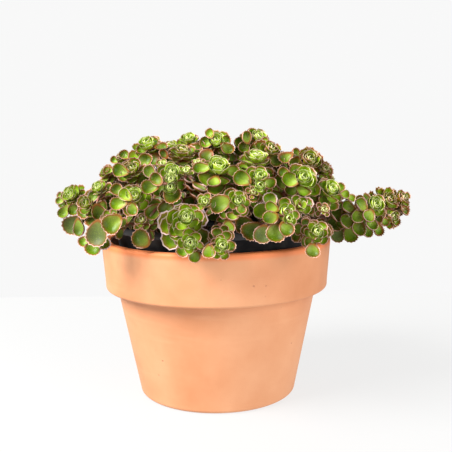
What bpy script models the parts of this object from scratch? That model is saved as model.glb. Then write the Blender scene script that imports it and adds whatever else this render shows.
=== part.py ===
"""A low sedum in a terracotta pot, built in metres with +Z up.

The origin is the centre of the pot's foot. -Y is the front of the plant, and +X is its right.
A terracotta pot holds a thin plastic grow pot, which holds the soil. Each leafy stem stands in its
own hole in the soil and ends in one or more rosettes of thick, cupped, scalloped leaves.
"""

import math
import random

import bmesh
import bpy
from mathutils import Matrix, Vector
from mathutils.bvhtree import BVHTree

MM = 0.001
GAP = 0.3  # millimetres left between solids that touch in the real thing

# Terracotta pot, in millimetres. Its thick rim band stands out over a plain tapered body.
POT_HEIGHT = 116.0
RIM_RADIUS = 85.0
RIM_ROUNDING = 2.0
RIM_WALL = 7.2
BAND_LOW_RADIUS = 82.6
BAND_LOW_HEIGHT = 84.0
BAND_INSIDE_STEP = 6.0  # the bore narrows this far above the band's lower edge
NECK_RADIUS = 74.1
NECK_HEIGHT = 79.5
NECK_FILLET = 1.2
FOOT_RADIUS = 58.2
FOOT_ROUNDING = 3.0
BODY_WALL = 6.6
FLOOR_THICKNESS = 9.0
FLOOR_FILLET = 3.0
DRAIN_RADIUS = 5.0
DRAIN_RING = 26.0
DRAIN_HOLES = 3
POT_SIDES = 30

# Plastic grow pot, standing on the terracotta floor.
GROW_TOP = 128.0
GROW_FOOT_RADIUS = 50.0
GROW_TAPER = 0.215  # radius gained for each millimetre of height
GROW_WALL = 1.3
GROW_LIP = 1.2  # how far the rolled lip stands out
GROW_LIP_DEPTH = 5.0
GROW_EDGE = 0.6  # small rounding of the lip's edges
GROW_FOOT_CHAMFER = 1.5
GROW_HOLE_RADIUS = 4.0
GROW_HOLE_RING = 38.0
GROW_HOLES = 6
GROW_SIDES = 28

# Soil.
SOIL_EDGE_HEIGHT = 115.0
SOIL_CROWN_HEIGHT = 118.0
SOIL_FOOT_CHAMFER = 1.0
HOLE_DEPTH = 14.0
HOLE_RADIUS = 2.7
HOLE_SIDES = 5

# Stems.
STEM_RADIUS = 2.0
STEM_RISE = 6.0  # height above the soil at which a stem starts to lean
STEM_ARCH = 0.18  # how far a stem bows upwards, as a share of its length
FORK_SHARE = 0.4  # where a side shoot leaves the last stretch of its stem
CROWN_FOOT = 0.55  # the foot of a crown lies this share of its radius below its place
SHOOT_FOOT = 0.5
ROOT_SHARE = 0.58  # a stem stands at this share of its crown's distance from the pot's axis
ROOT_LIMIT = 61.0
ROOT_SPACING = 9.5
LOW_CROWN = 146.0  # the stem of a crown lower than this is led over the grow pot's lip
LIP_CLEAR_HEIGHT = 131.6
LIP_INSIDE = 66.0
LIP_OUTSIDE = 81.0

# Leaves. The outline gives shares of length and of half width, from the tip round to the root.
# Its second and fourth points are the notches between the scallops.
LEAF_OUTLINE = (
    (1.00, 0.00),
    (0.89, 0.44),
    (0.79, 0.89),
    (0.56, 0.87),
    (0.36, 0.86),
    (0.15, 0.20),
    (0.00, 0.00),
)
LEAF_MIDDLE = 0.55
LEAF_WIDTH = 1.1  # width as a share of length
LEAF_THICKNESS = 2.0
LEAF_CUP = 0.13  # depth of the cup as a share of length
LEAF_DROOP = 0.06  # fall of the tip as a share of length
HEART_PITCH = 26.0  # lean of the innermost leaf from the stem's axis, in degrees
PITCH_SPREAD = 66.0
PITCH_JITTER = 4.0
HEART_LENGTH = 0.72  # length of the innermost leaf as a share of the rosette's radius
LENGTH_GROWTH = 0.62
LENGTH_JITTER = 0.06
HEART_HEIGHT = 0.45  # the innermost leaves stand this far above the crown's foot, in radii
ROOT_SINK = 0.45  # a leaf's root lies at this share of the heart's radius from its axis
STEM_SINK = 0.3
OUTER_PART = 0.45  # where the part of a leaf starts that must clear its own stem's other leaves
GOLDEN_ANGLE = math.radians(137.508)
BUD_SHARE = 0.26  # radius of a rosette's closed heart, as a share of the rosette's
BUD_WIDEST = 0.40  # height of the heart's widest ring over the foot, in radii
BUD_TOP = 0.75
BUD_TIP = 0.4  # width of the heart's tip as a share of its widest ring
CLEARANCE = 0.4
OWN_CLEARANCE = 0.1
SEED = 7

# Bends tried in turn, in degrees, and then smaller leaves, until a leaf clears its neighbours.
BENDS = (0, -8, 8, -16, 16, -24, -32)
SHRINKS = (1.0, 0.85, 0.7)

# The dome that the unseen crowns lie on.
DOME_CENTRE = Vector((8.0, 0.0, 112.0))
DOME_REACH = Vector((108.0, 95.0, 66.0))
DOME_SHARE = 0.97  # the outermost seed lies at this share of the dome's reach
DOME_SEEDS = 29
DOME_TURN = 1.7
BACK_START = -20.0
BACK_SPACING = 22.0
BACK_LOWEST = 131.0
BACK_RADIUS = (14.5, 16.5)
BACK_LEAVES = 6
BACK_RUN = 24.0

# The stems seen from the front. Each has one or more crowns, and each crown gives its place in
# millimetres, the way it faces, its radius, its number of leaves and how far they run down the stem.
FRONT_STEMS = (
    (((-105, -14, 152), (-6, -4, 6), 13, 8, 22), ((-99, -32, 136), (-6, -7, 1), 10, 4, 10)),
    (((-85, -51, 146), (-5, -6, 5), 11, 7, 18), ((-77, -50, 159), (-3, -3, 8), 7, 3, 5)),
    (((-75, -73, 129), (-5, -9, 2), 14, 7, 14),),
    (((-46, -88, 129), (-3, -8, 3), 9, 4, 10),),
    (((-76, -32, 166), (-6, -4, 7), 10, 6, 18),),
    (((-68, -5, 177), (-5, -1, 8), 12, 7, 20),),
    (((-57, -47, 170), (-4, -5, 8), 12, 7, 20),),
    (((-53, -72, 153), (-4, -6, 7), 12, 7, 20),),
    (((-47, -17, 183), (-2, -2, 9), 12, 8, 22),),
    (((-23, -44, 181), (1, -3, 9), 11, 7, 20), ((-17, -26, 189), (0, -1, 9), 7, 3, 5)),
    (((-33, 8, 187), (-1, 1, 9), 14, 7, 22),),
    (((-30, -71, 164), (-1, -7, 7), 15, 9, 20),),
    (((-17, -96, 132), (-1, -9, 3), 15, 12, 10),),
    (((4, -100, 127), (1, -9, 3), 9, 6, 10),),
    (((15, -90, 149), (1, -7, 6), 12, 8, 18), ((-5, -86, 154), (-1, -7, 6), 8, 4, 8)),
    (((3, -38, 187), (0, -5, 8), 12, 8, 20),),
    (((25, -30, 188), (3, -2, 8), 13, 8, 20),),
    (((38, -46, 181), (2, -3, 9), 11, 7, 18),),
    (((3, -68, 172), (0, -6, 8), 14, 8, 20),),
    (((28, -60, 176), (1, -4, 9), 12, 8, 18),),
    (((27, -77, 163), (0, -7, 6), 12, 8, 18),),
    (((66, -46, 174), (5, -3, 8), 14, 8, 22),),
    (((57, -69, 161), (2, -6, 8), 13, 8, 20),),
    (((78, -64, 154), (4, -5, 7), 12, 7, 20),),
    (((42, -88, 143), (1, -8, 5), 15, 9, 16),),
    (((64, -89, 129), (2, -8, 4), 9, 6, 12),),
    (((93, -58, 133), (4, -8, 3), 12, 8, 20),),
    (((109, -42, 144), (5, -6, 5), 12, 12, 44),),
    (((133, -18, 143), (7, -4, 4), 12, 8, 26), ((128, -21, 130), (6, -6, 0), 10, 4, 12)),
)


def clear_scene():
    """Remove whatever the start-up file holds."""
    for thing in list(bpy.data.objects):
        bpy.data.objects.remove(thing, do_unlink=True)


def make_collection(name):
    """Add an empty collection to the scene."""
    group = bpy.data.collections.new(name)
    bpy.context.scene.collection.children.link(group)
    return group


def make_material(name, colour, roughness):
    """Make a plain Principled material."""
    material = bpy.data.materials.new(name)
    material.use_nodes = True
    shader = material.node_tree.nodes["Principled BSDF"]
    shader.inputs["Base Color"].default_value = (*colour, 1.0)
    shader.inputs["Roughness"].default_value = roughness
    material.diffuse_color = (*colour, 1.0)
    return material


def add_object(name, mesh, group, material=None):
    """Put a mesh in the scene as a named object."""
    thing = bpy.data.objects.new(name, mesh)
    group.objects.link(thing)
    if material is not None:
        mesh.materials.append(material)
    return thing


def smooth(mesh):
    """Shade every face smooth."""
    mesh.polygons.foreach_set("use_smooth", [True] * len(mesh.polygons))


def turned(name, profile, sides, group, material):
    """Turn a closed profile of (radius, height) points about Z with a Screw modifier."""
    mesh = bpy.data.meshes.new(name)
    points = [(radius * MM, 0.0, height * MM) for radius, height in profile]
    last = len(points) - 1
    closed = profile[0][0] > 0.0
    edges = [(i, i + 1) for i in range(last)] + ([(last, 0)] if closed else [])
    mesh.from_pydata(points, edges, [])
    thing = add_object(name, mesh, group, material)
    screw = thing.modifiers.new("turn", "SCREW")
    screw.axis = "Z"
    screw.angle = math.tau
    screw.steps = sides
    screw.render_steps = sides
    screw.use_merge_vertices = True
    screw.merge_threshold = 0.00001
    screw.use_smooth_shade = True
    return thing


def arc(centre_radius, centre_height, rounding, start, end, steps):
    """Points of a rounded corner in a profile, from one angle to another in degrees."""
    points = []
    for i in range(steps + 1):
        angle = math.radians(start + (end - start) * i / steps)
        radius = centre_radius + rounding * math.cos(angle)
        points.append((radius, centre_height + rounding * math.sin(angle)))
    return points


def foot_radius_at(height):
    """Outer radius of the terracotta body at a height."""
    return FOOT_RADIUS + (NECK_RADIUS - FOOT_RADIUS) * height / NECK_HEIGHT


def terracotta_profile():
    """Closed profile of the pot, down its outside and up its inside."""
    points = arc(RIM_RADIUS - RIM_ROUNDING, POT_HEIGHT - RIM_ROUNDING, RIM_ROUNDING, 90, 0, 2)
    points += arc(BAND_LOW_RADIUS - RIM_ROUNDING, BAND_LOW_HEIGHT - RIM_ROUNDING, RIM_ROUNDING, 0, -70, 2)
    points += [(NECK_RADIUS + NECK_FILLET, NECK_HEIGHT), (NECK_RADIUS, NECK_HEIGHT - NECK_FILLET)]
    points += arc(foot_radius_at(FOOT_ROUNDING) - FOOT_ROUNDING, FOOT_ROUNDING, FOOT_ROUNDING, 0, -90, 2)
    inside = FLOOR_THICKNESS + FLOOR_FILLET
    points += [(0.0, 0.0), (0.0, FLOOR_THICKNESS)]
    points += [(foot_radius_at(inside) - BODY_WALL - FLOOR_FILLET, FLOOR_THICKNESS)]
    points += [(foot_radius_at(inside) - BODY_WALL, inside)]
    points += [(NECK_RADIUS - BODY_WALL, NECK_HEIGHT)]
    inner = RIM_RADIUS - RIM_WALL
    points += [(inner, BAND_LOW_HEIGHT + BAND_INSIDE_STEP)]
    points += arc(inner + RIM_ROUNDING, POT_HEIGHT - RIM_ROUNDING, RIM_ROUNDING, 180, 90, 2)
    return points


def grow_radius_at(height):
    """Outer radius of the grow pot's wall at a height."""
    return GROW_FOOT_RADIUS + GROW_TAPER * (height - FLOOR_THICKNESS - GAP)


def grow_profile():
    """Closed profile of the thin grow pot with its rolled lip."""
    foot = FLOOR_THICKNESS + GAP
    lip_low = GROW_TOP - GROW_LIP_DEPTH
    lip = grow_radius_at(lip_low) + GROW_LIP
    points = [(lip - GROW_EDGE, GROW_TOP), (lip, GROW_TOP - GROW_EDGE)]
    points += [(lip, lip_low + GROW_EDGE), (lip - GROW_EDGE, lip_low), (grow_radius_at(lip_low), lip_low)]
    points += [(grow_radius_at(foot + GROW_FOOT_CHAMFER), foot + GROW_FOOT_CHAMFER)]
    points += [(GROW_FOOT_RADIUS - GROW_FOOT_CHAMFER, foot), (0.0, foot), (0.0, foot + GROW_WALL)]
    points += [(GROW_FOOT_RADIUS - GROW_WALL - GROW_EDGE, foot + GROW_WALL)]
    points += [(grow_radius_at(GROW_TOP) - GROW_WALL, GROW_TOP)]
    return points


def soil_profile():
    """Profile of the soil, from its crown down its side to the bottom."""
    foot = FLOOR_THICKNESS + GAP + GROW_WALL + GAP
    wall = GROW_WALL + 2.0 * GAP
    edge = grow_radius_at(SOIL_EDGE_HEIGHT) - wall
    half_way = SOIL_EDGE_HEIGHT + 0.8 * (SOIL_CROWN_HEIGHT - SOIL_EDGE_HEIGHT)
    points = [(0.0, SOIL_CROWN_HEIGHT), (edge * 0.5, half_way), (edge, SOIL_EDGE_HEIGHT)]
    points += [(GROW_FOOT_RADIUS - wall - SOIL_FOOT_CHAMFER, foot), (0.0, foot)]
    return points


def add_cylinder(target, radius, low, high, x, y, sides):
    """Add an upright closed cylinder to a bmesh, in millimetres."""
    middle = Matrix.Translation((x * MM, y * MM, (low + high) * 0.5 * MM))
    bmesh.ops.create_cone(target, cap_ends=True, segments=sides, radius1=radius * MM, radius2=radius * MM,
                          depth=(high - low) * MM, matrix=middle)


def add_cutter(name, cylinders, target, group):
    """Cut a set of upright cylinders out of an object with one live Boolean."""
    shape = bmesh.new()
    for radius, low, high, x, y, sides in cylinders:
        add_cylinder(shape, radius, low, high, x, y, sides)
    mesh = bpy.data.meshes.new(name)
    shape.to_mesh(mesh)
    shape.free()
    cutter = add_object(name, mesh, group)
    cutter.hide_render = True
    cutter.display_type = "WIRE"
    cut = target.modifiers.new(name, "BOOLEAN")
    cut.operation = "DIFFERENCE"
    cut.solver = "EXACT"
    cut.object = cutter


def ring_of(count, ring, radius, low, high, sides):
    """Cylinders spread evenly round the axis."""
    turn = [math.tau * (i + 0.5) / count for i in range(count)]
    return [(radius, low, high, ring * math.cos(a), ring * math.sin(a), sides) for a in turn]


def dome_facing(place):
    """The way out of the dome at a place on it."""
    offset = Vector(place) - DOME_CENTRE
    return Vector([offset[i] / DOME_REACH[i] ** 2 for i in range(3)]).normalized()


def back_stems(draw):
    """Crowns where the photograph does not show them, spread over the dome like sunflower seeds."""
    seen = [Vector(crown[0]) for stem in FRONT_STEMS for crown in stem]
    stems = []
    for i in range(DOME_SEEDS):
        spread = math.sqrt((i + 0.5) / DOME_SEEDS) * DOME_SHARE
        around = i * GOLDEN_ANGLE + DOME_TURN
        x = spread * math.cos(around)
        y = spread * math.sin(around)
        z = math.sqrt(1.0 - spread * spread)
        place = DOME_CENTRE + Vector((DOME_REACH.x * x, DOME_REACH.y * y, DOME_REACH.z * z))
        place.z = max(place.z, BACK_LOWEST)
        if place.y < BACK_START or min((place - other).length for other in seen) < BACK_SPACING:
            continue
        radius = draw.uniform(*BACK_RADIUS)
        stems.append(((tuple(place), tuple(dome_facing(place)), radius, BACK_LEAVES, BACK_RUN),))
    return stems


def place_roots(stems):
    """Where each stem stands in the soil, spread so that no two holes meet."""
    roots = []
    for stem in stems:
        x, y, _ = stem[0][0]
        reach = math.hypot(x, y)
        share = min(ROOT_SHARE, ROOT_LIMIT / reach)
        roots.append(Vector((x * share, y * share)))
    for _ in range(200):
        moved = False
        for i, first in enumerate(roots):
            for second in roots[i + 1:]:
                apart = second - first
                if apart.length < ROOT_SPACING:
                    push = apart.normalized() * (ROOT_SPACING - apart.length + 0.1) * 0.5
                    first -= push
                    second += push
                    moved = True
        for root in roots:
            if root.length > ROOT_LIMIT:
                root *= ROOT_LIMIT / root.length
        if not moved:
            break
    return roots


def outwards(point, reach, height):
    """The point at a distance from the pot's axis and a height, in the direction of another point."""
    share = reach / math.hypot(point.x, point.y)
    return Vector((point.x * share, point.y * share, height))


def stem_path(start, end, facing, radius):
    """Middle line of a stem, from its hole up and out to the foot of its crown."""
    foot = end - facing * radius * CROWN_FOOT
    rise = Vector((start.x, start.y, start.z + HOLE_DEPTH + STEM_RISE))
    if foot.z < LOW_CROWN and math.hypot(foot.x, foot.y) > LIP_OUTSIDE:
        inner = outwards(foot, LIP_INSIDE, LIP_CLEAR_HEIGHT)
        outer = outwards(foot, LIP_OUTSIDE, LIP_CLEAR_HEIGHT)
        return [start, rise, inner, outer, foot]
    bend = rise.lerp(foot, 0.5) + Vector((0.0, 0.0, STEM_ARCH * (foot - rise).length))
    return [start, rise, bend, foot]


def tube_mesh(points, radii):
    """A closed four-sided tube through points in millimetres, from a bevelled curve."""
    curve = bpy.data.curves.new("tube", "CURVE")
    curve.dimensions = "3D"
    curve.bevel_depth = 1.0 * MM
    curve.bevel_resolution = 0
    curve.use_fill_caps = True
    spline = curve.splines.new("POLY")
    spline.points.add(len(points) - 1)
    for slot, point, radius in zip(spline.points, points, radii):
        slot.co = (point.x * MM, point.y * MM, point.z * MM, 1.0)
        slot.radius = radius
    holder = bpy.data.objects.new("tube", curve)
    bpy.context.scene.collection.objects.link(holder)
    bpy.context.view_layer.update()
    evaluated = holder.evaluated_get(bpy.context.evaluated_depsgraph_get())
    mesh = bpy.data.meshes.new_from_object(evaluated)
    shape = bmesh.new()
    shape.from_mesh(mesh)
    bmesh.ops.remove_doubles(shape, verts=shape.verts, dist=0.00001)
    shape.transform(holder.matrix_world)
    shape.to_mesh(mesh)
    shape.free()
    bpy.data.objects.remove(holder, do_unlink=True)
    bpy.data.curves.remove(curve)
    return mesh


def leaf_shape(length, width, thickness, cup, droop):
    """Corners and faces of one leaf lying along +X with its root at the origin, in millimetres.

    It starts as a sphere of two rows, so it has one ring of corners and two poles. The ring takes
    the scalloped outline, and the poles are the middle of the upper and the lower face.
    """
    shape = bmesh.new()
    sides = 2 * (len(LEAF_OUTLINE) - 1)
    bmesh.ops.create_uvsphere(shape, u_segments=sides, v_segments=2, radius=1.0)
    for corner in shape.verts:
        if abs(corner.co.z) > 0.5:
            up = 0.5 * thickness if corner.co.z > 0.0 else -0.5 * thickness
            corner.co = Vector((LEAF_MIDDLE * length, 0.0, up - cup))
            continue
        step = round(math.atan2(corner.co.y, corner.co.x) / math.tau * sides)
        along, across = LEAF_OUTLINE[abs(step)]
        side = 1.0 if step > 0 else -1.0
        corner.co = Vector((along * length, side * across * width * 0.5, -droop * along * along))
    corners = [corner.co.copy() for corner in shape.verts]
    faces = [[corner.index for corner in face.verts] for face in shape.faces]
    shape.free()
    return corners, faces


def leaf_frame(root, axis, outward, pitch):
    """Matrix of a leaf whose blade leans away from the stem's axis by a pitch in radians."""
    along = axis * math.cos(pitch) + outward * math.sin(pitch)
    upper = axis * math.sin(pitch) - outward * math.cos(pitch)
    across = upper.cross(along)
    turn = Matrix((along, across, upper)).transposed().to_4x4()
    return Matrix.Translation(root) @ turn


def leaf_plan(path, facing, radius, count, run, draw):
    """Root, way out, pitch and length of every leaf of a crown, from its heart outwards."""
    axis = Vector(facing).normalized()
    side = axis.orthogonal().normalized()
    start = draw.random() * math.tau
    foot = path[-1]
    back = path[-2]
    plan = []
    for i in range(count):
        share = (i + 0.5) / count
        turn = start + i * GOLDEN_ANGLE
        outward = (Matrix.Rotation(turn, 3, axis) @ side).normalized()
        jitter = draw.uniform(-PITCH_JITTER, PITCH_JITTER)
        pitch = math.radians(HEART_PITCH + PITCH_SPREAD * share ** 0.8 + jitter)
        growth = draw.uniform(1.0 - LENGTH_JITTER, 1.0 + LENGTH_JITTER)
        length = radius * (HEART_LENGTH + LENGTH_GROWTH * share) * growth
        drop = run * share - radius * HEART_HEIGHT
        if drop <= 0.0:
            place = foot - axis * drop
            sunk = BUD_SHARE * radius * ROOT_SINK
        else:
            place = foot + (back - foot).normalized() * drop
            sunk = STEM_RADIUS * STEM_SINK
        plan.append([place + outward * sunk, axis, outward, pitch, length])
    return plan


class Node:
    """One leafy stem while it is put together."""

    def __init__(self, name):
        self.name = name
        self.cores = []
        self.leaves = []
        self.trees = []

    def add_core(self, mesh):
        """Keep a stem and the tree that others are tested against."""
        corners = [corner.co / MM for corner in mesh.vertices]
        faces = [list(face.vertices) for face in mesh.polygons]
        self.cores.append(mesh)
        self.trees.append(BVHTree.FromPolygons(corners, faces))

    def add_leaf(self, corners, faces):
        """Keep a leaf that has found its place."""
        self.leaves.append((corners, faces))
        self.trees.append(BVHTree.FromPolygons(corners, faces))


def leaf_at(entry, bend, shrink, grow, start):
    """A leaf of the plan, bent, shortened or thickened, or only its outer part."""
    root, axis, outward, pitch, length = entry
    size = length * shrink
    frame = leaf_frame(root, axis, outward, pitch + math.radians(bend))
    along = frame.to_3x3().col[0]
    frame = Matrix.Translation(along * (size * start - grow)) @ frame
    span = size * (1.0 - start) + 2.0 * grow
    width = size * LEAF_WIDTH + 2.0 * grow
    thickness = LEAF_THICKNESS + 2.0 * grow
    corners, faces = leaf_shape(span, width, thickness, LEAF_CUP * size, LEAF_DROOP * size)
    return [frame @ corner for corner in corners], faces


def crosses(corners, faces, trees):
    """Whether a leaf meets any of the shapes."""
    tree = BVHTree.FromPolygons(corners, faces)
    return any(tree.overlap(other) for other in trees)


def seat_leaf(entry, node, nodes, solids):
    """Bend or shorten a leaf until it clears everything else, or leave it out."""
    others = [tree for other in nodes if other is not node for tree in other.trees]
    for shrink in SHRINKS:
        for bend in BENDS:
            cage = leaf_at(entry, bend, shrink, CLEARANCE, 0.0)
            if crosses(*cage, solids) or crosses(*cage, others):
                continue
            tip = leaf_at(entry, bend, shrink, OWN_CLEARANCE, OUTER_PART)
            if crosses(*tip, node.trees):
                continue
            node.add_leaf(*leaf_at(entry, bend, shrink, 0.0, 0.0))
            return


def fused(base, pieces, solver):
    """The mesh of an object joined with a collection by one Boolean union, cleaned up."""
    join = base.modifiers.new("join", "BOOLEAN")
    join.operation = "UNION"
    join.operand_type = "COLLECTION"
    join.solver = solver
    join.collection = pieces
    bpy.context.view_layer.update()
    joined = bpy.data.meshes.new_from_object(base.evaluated_get(bpy.context.evaluated_depsgraph_get()))
    base.modifiers.remove(join)
    return joined, tidy(joined)


def fuse(node, group, material):
    """Join the stems and leaves of a node into one solid."""
    pieces = make_collection("pieces")
    for mesh in node.cores[1:]:
        add_object("piece", mesh, pieces)
    for corners, faces in node.leaves:
        mesh = bpy.data.meshes.new("piece")
        mesh.from_pydata([tuple(corner * MM) for corner in corners], [], faces)
        add_object("piece", mesh, pieces)
    base = add_object(node.name, node.cores[0], group)
    joined, closed = fused(base, pieces, "EXACT")
    if not closed:
        joined, closed = fused(base, pieces, "MANIFOLD")
    base.data = joined
    joined.name = node.name
    joined.materials.clear()
    joined.materials.append(material)
    for piece in list(pieces.objects):
        bpy.data.objects.remove(piece, do_unlink=True)
    bpy.data.collections.remove(pieces)


def tidy(mesh):
    """Make triangles, keep only the largest connected piece, and say whether it is closed."""
    shape = bmesh.new()
    shape.from_mesh(mesh)
    bmesh.ops.triangulate(shape, faces=shape.faces)
    islands = []
    left = set(shape.verts)
    while left:
        stack = [left.pop()]
        island = set(stack)
        while stack:
            corner = stack.pop()
            for edge in corner.link_edges:
                other = edge.other_vert(corner)
                if other in left:
                    left.discard(other)
                    island.add(other)
                    stack.append(other)
        islands.append(island)
    islands.sort(key=len, reverse=True)
    for island in islands[1:]:
        bmesh.ops.delete(shape, geom=list(island), context="VERTS")
    closed = all(len(edge.link_faces) == 2 for edge in shape.edges)
    shape.to_mesh(mesh)
    shape.free()
    return closed


def tree_of(thing):
    """The evaluated surface of an object as a search tree, in millimetres."""
    mesh = thing.evaluated_get(bpy.context.evaluated_depsgraph_get()).to_mesh()
    corners = [corner.co / MM for corner in mesh.vertices]
    faces = [list(face.vertices) for face in mesh.polygons]
    return BVHTree.FromPolygons(corners, faces)


def grow_stems(group, solids, roots, stems):
    """Build every leafy stem: all the stems first, then the leaves from the hearts outwards."""
    draw = random.Random(SEED)
    nodes = []
    plans = []
    hole_foot = SOIL_EDGE_HEIGHT - HOLE_DEPTH + GAP
    for i, stem in enumerate(stems):
        node = Node(f"stem_{i + 1:02d}")
        plan = []
        first = None
        for place, facing, radius, count, run in stem:
            axis = Vector(facing).normalized()
            if first is None:
                start = Vector((roots[i].x, roots[i].y, hole_foot))
                path = stem_path(start, Vector(place), axis, radius)
                first = path
            else:
                fork = first[-2].lerp(first[-1], FORK_SHARE)
                foot = Vector(place) - axis * radius * SHOOT_FOOT
                path = [fork, fork.lerp(foot, 0.6) - axis, foot]
            bud = BUD_SHARE * radius
            points = path + [path[-1] + axis * radius * BUD_WIDEST, path[-1] + axis * radius * BUD_TOP]
            widths = [STEM_RADIUS] * len(path) + [bud, bud * BUD_TIP]
            node.add_core(tube_mesh(points, widths))
            plan += leaf_plan(path, facing, radius, count, run, draw)
        nodes.append(node)
        plans.append(plan)
    for ring in range(max(len(plan) for plan in plans)):
        for node, plan in zip(nodes, plans):
            if ring < len(plan):
                seat_leaf(plan[ring], node, nodes, solids)
    green = make_material("sedum_leaf", (0.19, 0.27, 0.06), 0.42)
    for node in nodes:
        fuse(node, group, green)


def main():
    """Build the pot, the grow pot, the soil and every stem."""
    clear_scene()
    parts = make_collection("potted_sedum")
    cutters = make_collection("cutters")
    clay = make_material("terracotta", (0.72, 0.36, 0.20), 0.85)
    plastic = make_material("grow_pot_plastic", (0.035, 0.036, 0.038), 0.45)
    earth = make_material("soil", (0.045, 0.03, 0.02), 0.95)
    pot = turned("terracotta_pot", terracotta_profile(), POT_SIDES, parts, clay)
    add_cutter("cut_drains", ring_of(DRAIN_HOLES, DRAIN_RING, DRAIN_RADIUS, -5.0, FLOOR_THICKNESS + 5.0, 16),
               pot, cutters)
    grow = turned("grow_pot", grow_profile(), GROW_SIDES, parts, plastic)
    add_cutter("cut_grow_drains", ring_of(GROW_HOLES, GROW_HOLE_RING, GROW_HOLE_RADIUS, FLOOR_THICKNESS - 3.0,
                                          FLOOR_THICKNESS + 5.0, 10), grow, cutters)
    soil = turned("soil", soil_profile(), GROW_SIDES, parts, earth)
    stems = list(FRONT_STEMS) + back_stems(random.Random(SEED))
    roots = place_roots(stems)
    bpy.context.view_layer.update()
    solids = [tree_of(pot), tree_of(grow), tree_of(soil)]
    holes = [(HOLE_RADIUS, SOIL_EDGE_HEIGHT - HOLE_DEPTH, SOIL_CROWN_HEIGHT + 5.0, root.x, root.y, HOLE_SIDES)
             for root in roots]
    add_cutter("cut_stem_holes", holes, soil, cutters)
    grow_stems(parts, solids, roots, stems)


main()
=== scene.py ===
"""Looks of a low sedum in a terracotta pot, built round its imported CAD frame.

Sizes and places are in millimetres and become metres when a mesh is made; the studio's are in metres,
and the leaves picked on the photograph have their place and radius there in pixels. -Y is the front
that the photograph shows, +X is its right and +Z is up. The clay pot, the grow pot, the soil and each
leafy stem get a finer piece that stands for one CAD node.
"""

from __future__ import annotations

import logging
import math
import random
from dataclasses import dataclass, field, replace
from enum import Enum

import bpy
import numpy as np
from mathutils import Matrix, Vector
from mathutils.bvhtree import BVHTree


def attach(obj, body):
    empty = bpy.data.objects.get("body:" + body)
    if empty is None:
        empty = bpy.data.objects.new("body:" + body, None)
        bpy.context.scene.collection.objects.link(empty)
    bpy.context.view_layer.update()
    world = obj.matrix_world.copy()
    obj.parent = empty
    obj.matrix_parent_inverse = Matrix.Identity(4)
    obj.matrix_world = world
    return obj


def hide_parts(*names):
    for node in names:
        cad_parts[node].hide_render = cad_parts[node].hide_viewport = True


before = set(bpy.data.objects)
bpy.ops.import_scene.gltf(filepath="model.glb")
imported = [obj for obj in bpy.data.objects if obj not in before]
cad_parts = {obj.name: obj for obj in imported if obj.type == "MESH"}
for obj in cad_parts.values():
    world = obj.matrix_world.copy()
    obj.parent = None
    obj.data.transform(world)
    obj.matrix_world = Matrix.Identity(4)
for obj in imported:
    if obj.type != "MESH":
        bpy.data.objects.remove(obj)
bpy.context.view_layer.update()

LOG = logging.getLogger("potted_sedum")
MM = 0.001
GOLDEN_ANGLE = math.radians(137.508)
SEED = 7
BODY = "root"
COARSE_SIDES = 24

Point = tuple[float, float, float]
Pair = tuple[float, float]
Socket = bpy.types.NodeSocket
Material = bpy.types.Material
Piece = bpy.types.Object
Draw = random.Random


def unit(vector: Vector | Point) -> Vector:
    """A vector's direction as a vector of length one."""
    return Vector(vector).normalized()


def smooth_step(values: np.ndarray, low: float, high: float) -> np.ndarray:
    """Ease from 0 at low to 1 at high: t * t * (3 - 2 t).

    Args:
        values: Numbers to ease.
        low: Where the ease starts.
        high: Where the ease ends.

    Returns:
        The eased numbers, between 0 and 1.
    """
    share = np.clip((values - low) / (high - low), 0.0, 1.0)
    return share * share * (3.0 - 2.0 * share)


def between(pair: Pair, share: float | np.ndarray) -> float | np.ndarray:
    """The value at a share of the way from a pair's first number to its second."""
    return pair[0] + (pair[1] - pair[0]) * share


@dataclass
class Surface:
    """Part of a mesh: points in millimetres, faces, and a value for each point under each mark."""

    points: np.ndarray
    faces: list[np.ndarray]
    marks: dict[str, np.ndarray] = field(default_factory=dict)
    finish: int = 0

    def corners(self) -> list[list[int]]:
        """The faces as plain lists of point numbers."""
        return [face for block in self.faces for face in block.tolist()]


def mesh_of(name: str, surfaces: list[Surface]) -> bpy.types.Mesh:
    """Put surfaces into one smooth-shaded mesh, in metres.

    Args:
        name: Name of the mesh.
        surfaces: Surfaces to join, each with the number of its material slot.

    Returns:
        The mesh, with one point attribute for each mark.
    """
    shift = 0
    corners: list[np.ndarray] = []
    sizes: list[np.ndarray] = []
    slots: list[np.ndarray] = []
    for surface in surfaces:
        for block in surface.faces:
            corners.append((block + shift).ravel())
            sizes.append(np.full(len(block), block.shape[1]))
            slots.append(np.full(len(block), surface.finish))
        shift += len(surface.points)
    points = np.concatenate([surface.points for surface in surfaces]) * MM
    loops = np.concatenate(corners).astype(np.int32)
    size = np.concatenate(sizes).astype(np.int32)
    mesh = bpy.data.meshes.new(name)
    mesh.vertices.add(len(points))
    mesh.vertices.foreach_set("co", points.astype(np.float32).ravel())
    mesh.loops.add(len(loops))
    mesh.loops.foreach_set("vertex_index", loops)
    mesh.polygons.add(len(size))
    mesh.polygons.foreach_set("loop_start", (np.cumsum(size) - size).astype(np.int32))
    mesh.polygons.foreach_set("material_index", np.concatenate(slots).astype(np.int32))
    mesh.polygons.foreach_set("use_smooth", np.ones(len(size), dtype=bool))
    for mark in {key for surface in surfaces for key in surface.marks}:
        values = [surface.marks.get(mark, np.zeros(len(surface.points))) for surface in surfaces]
        layer = mesh.attributes.new(mark, "FLOAT", "POINT")
        layer.data.foreach_set("value", np.concatenate(values).astype(np.float32))
    mesh.update(calc_edges=True)
    if "reach" in mesh.attributes:
        crease_rims(mesh)
    mesh.validate()
    return mesh


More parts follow.
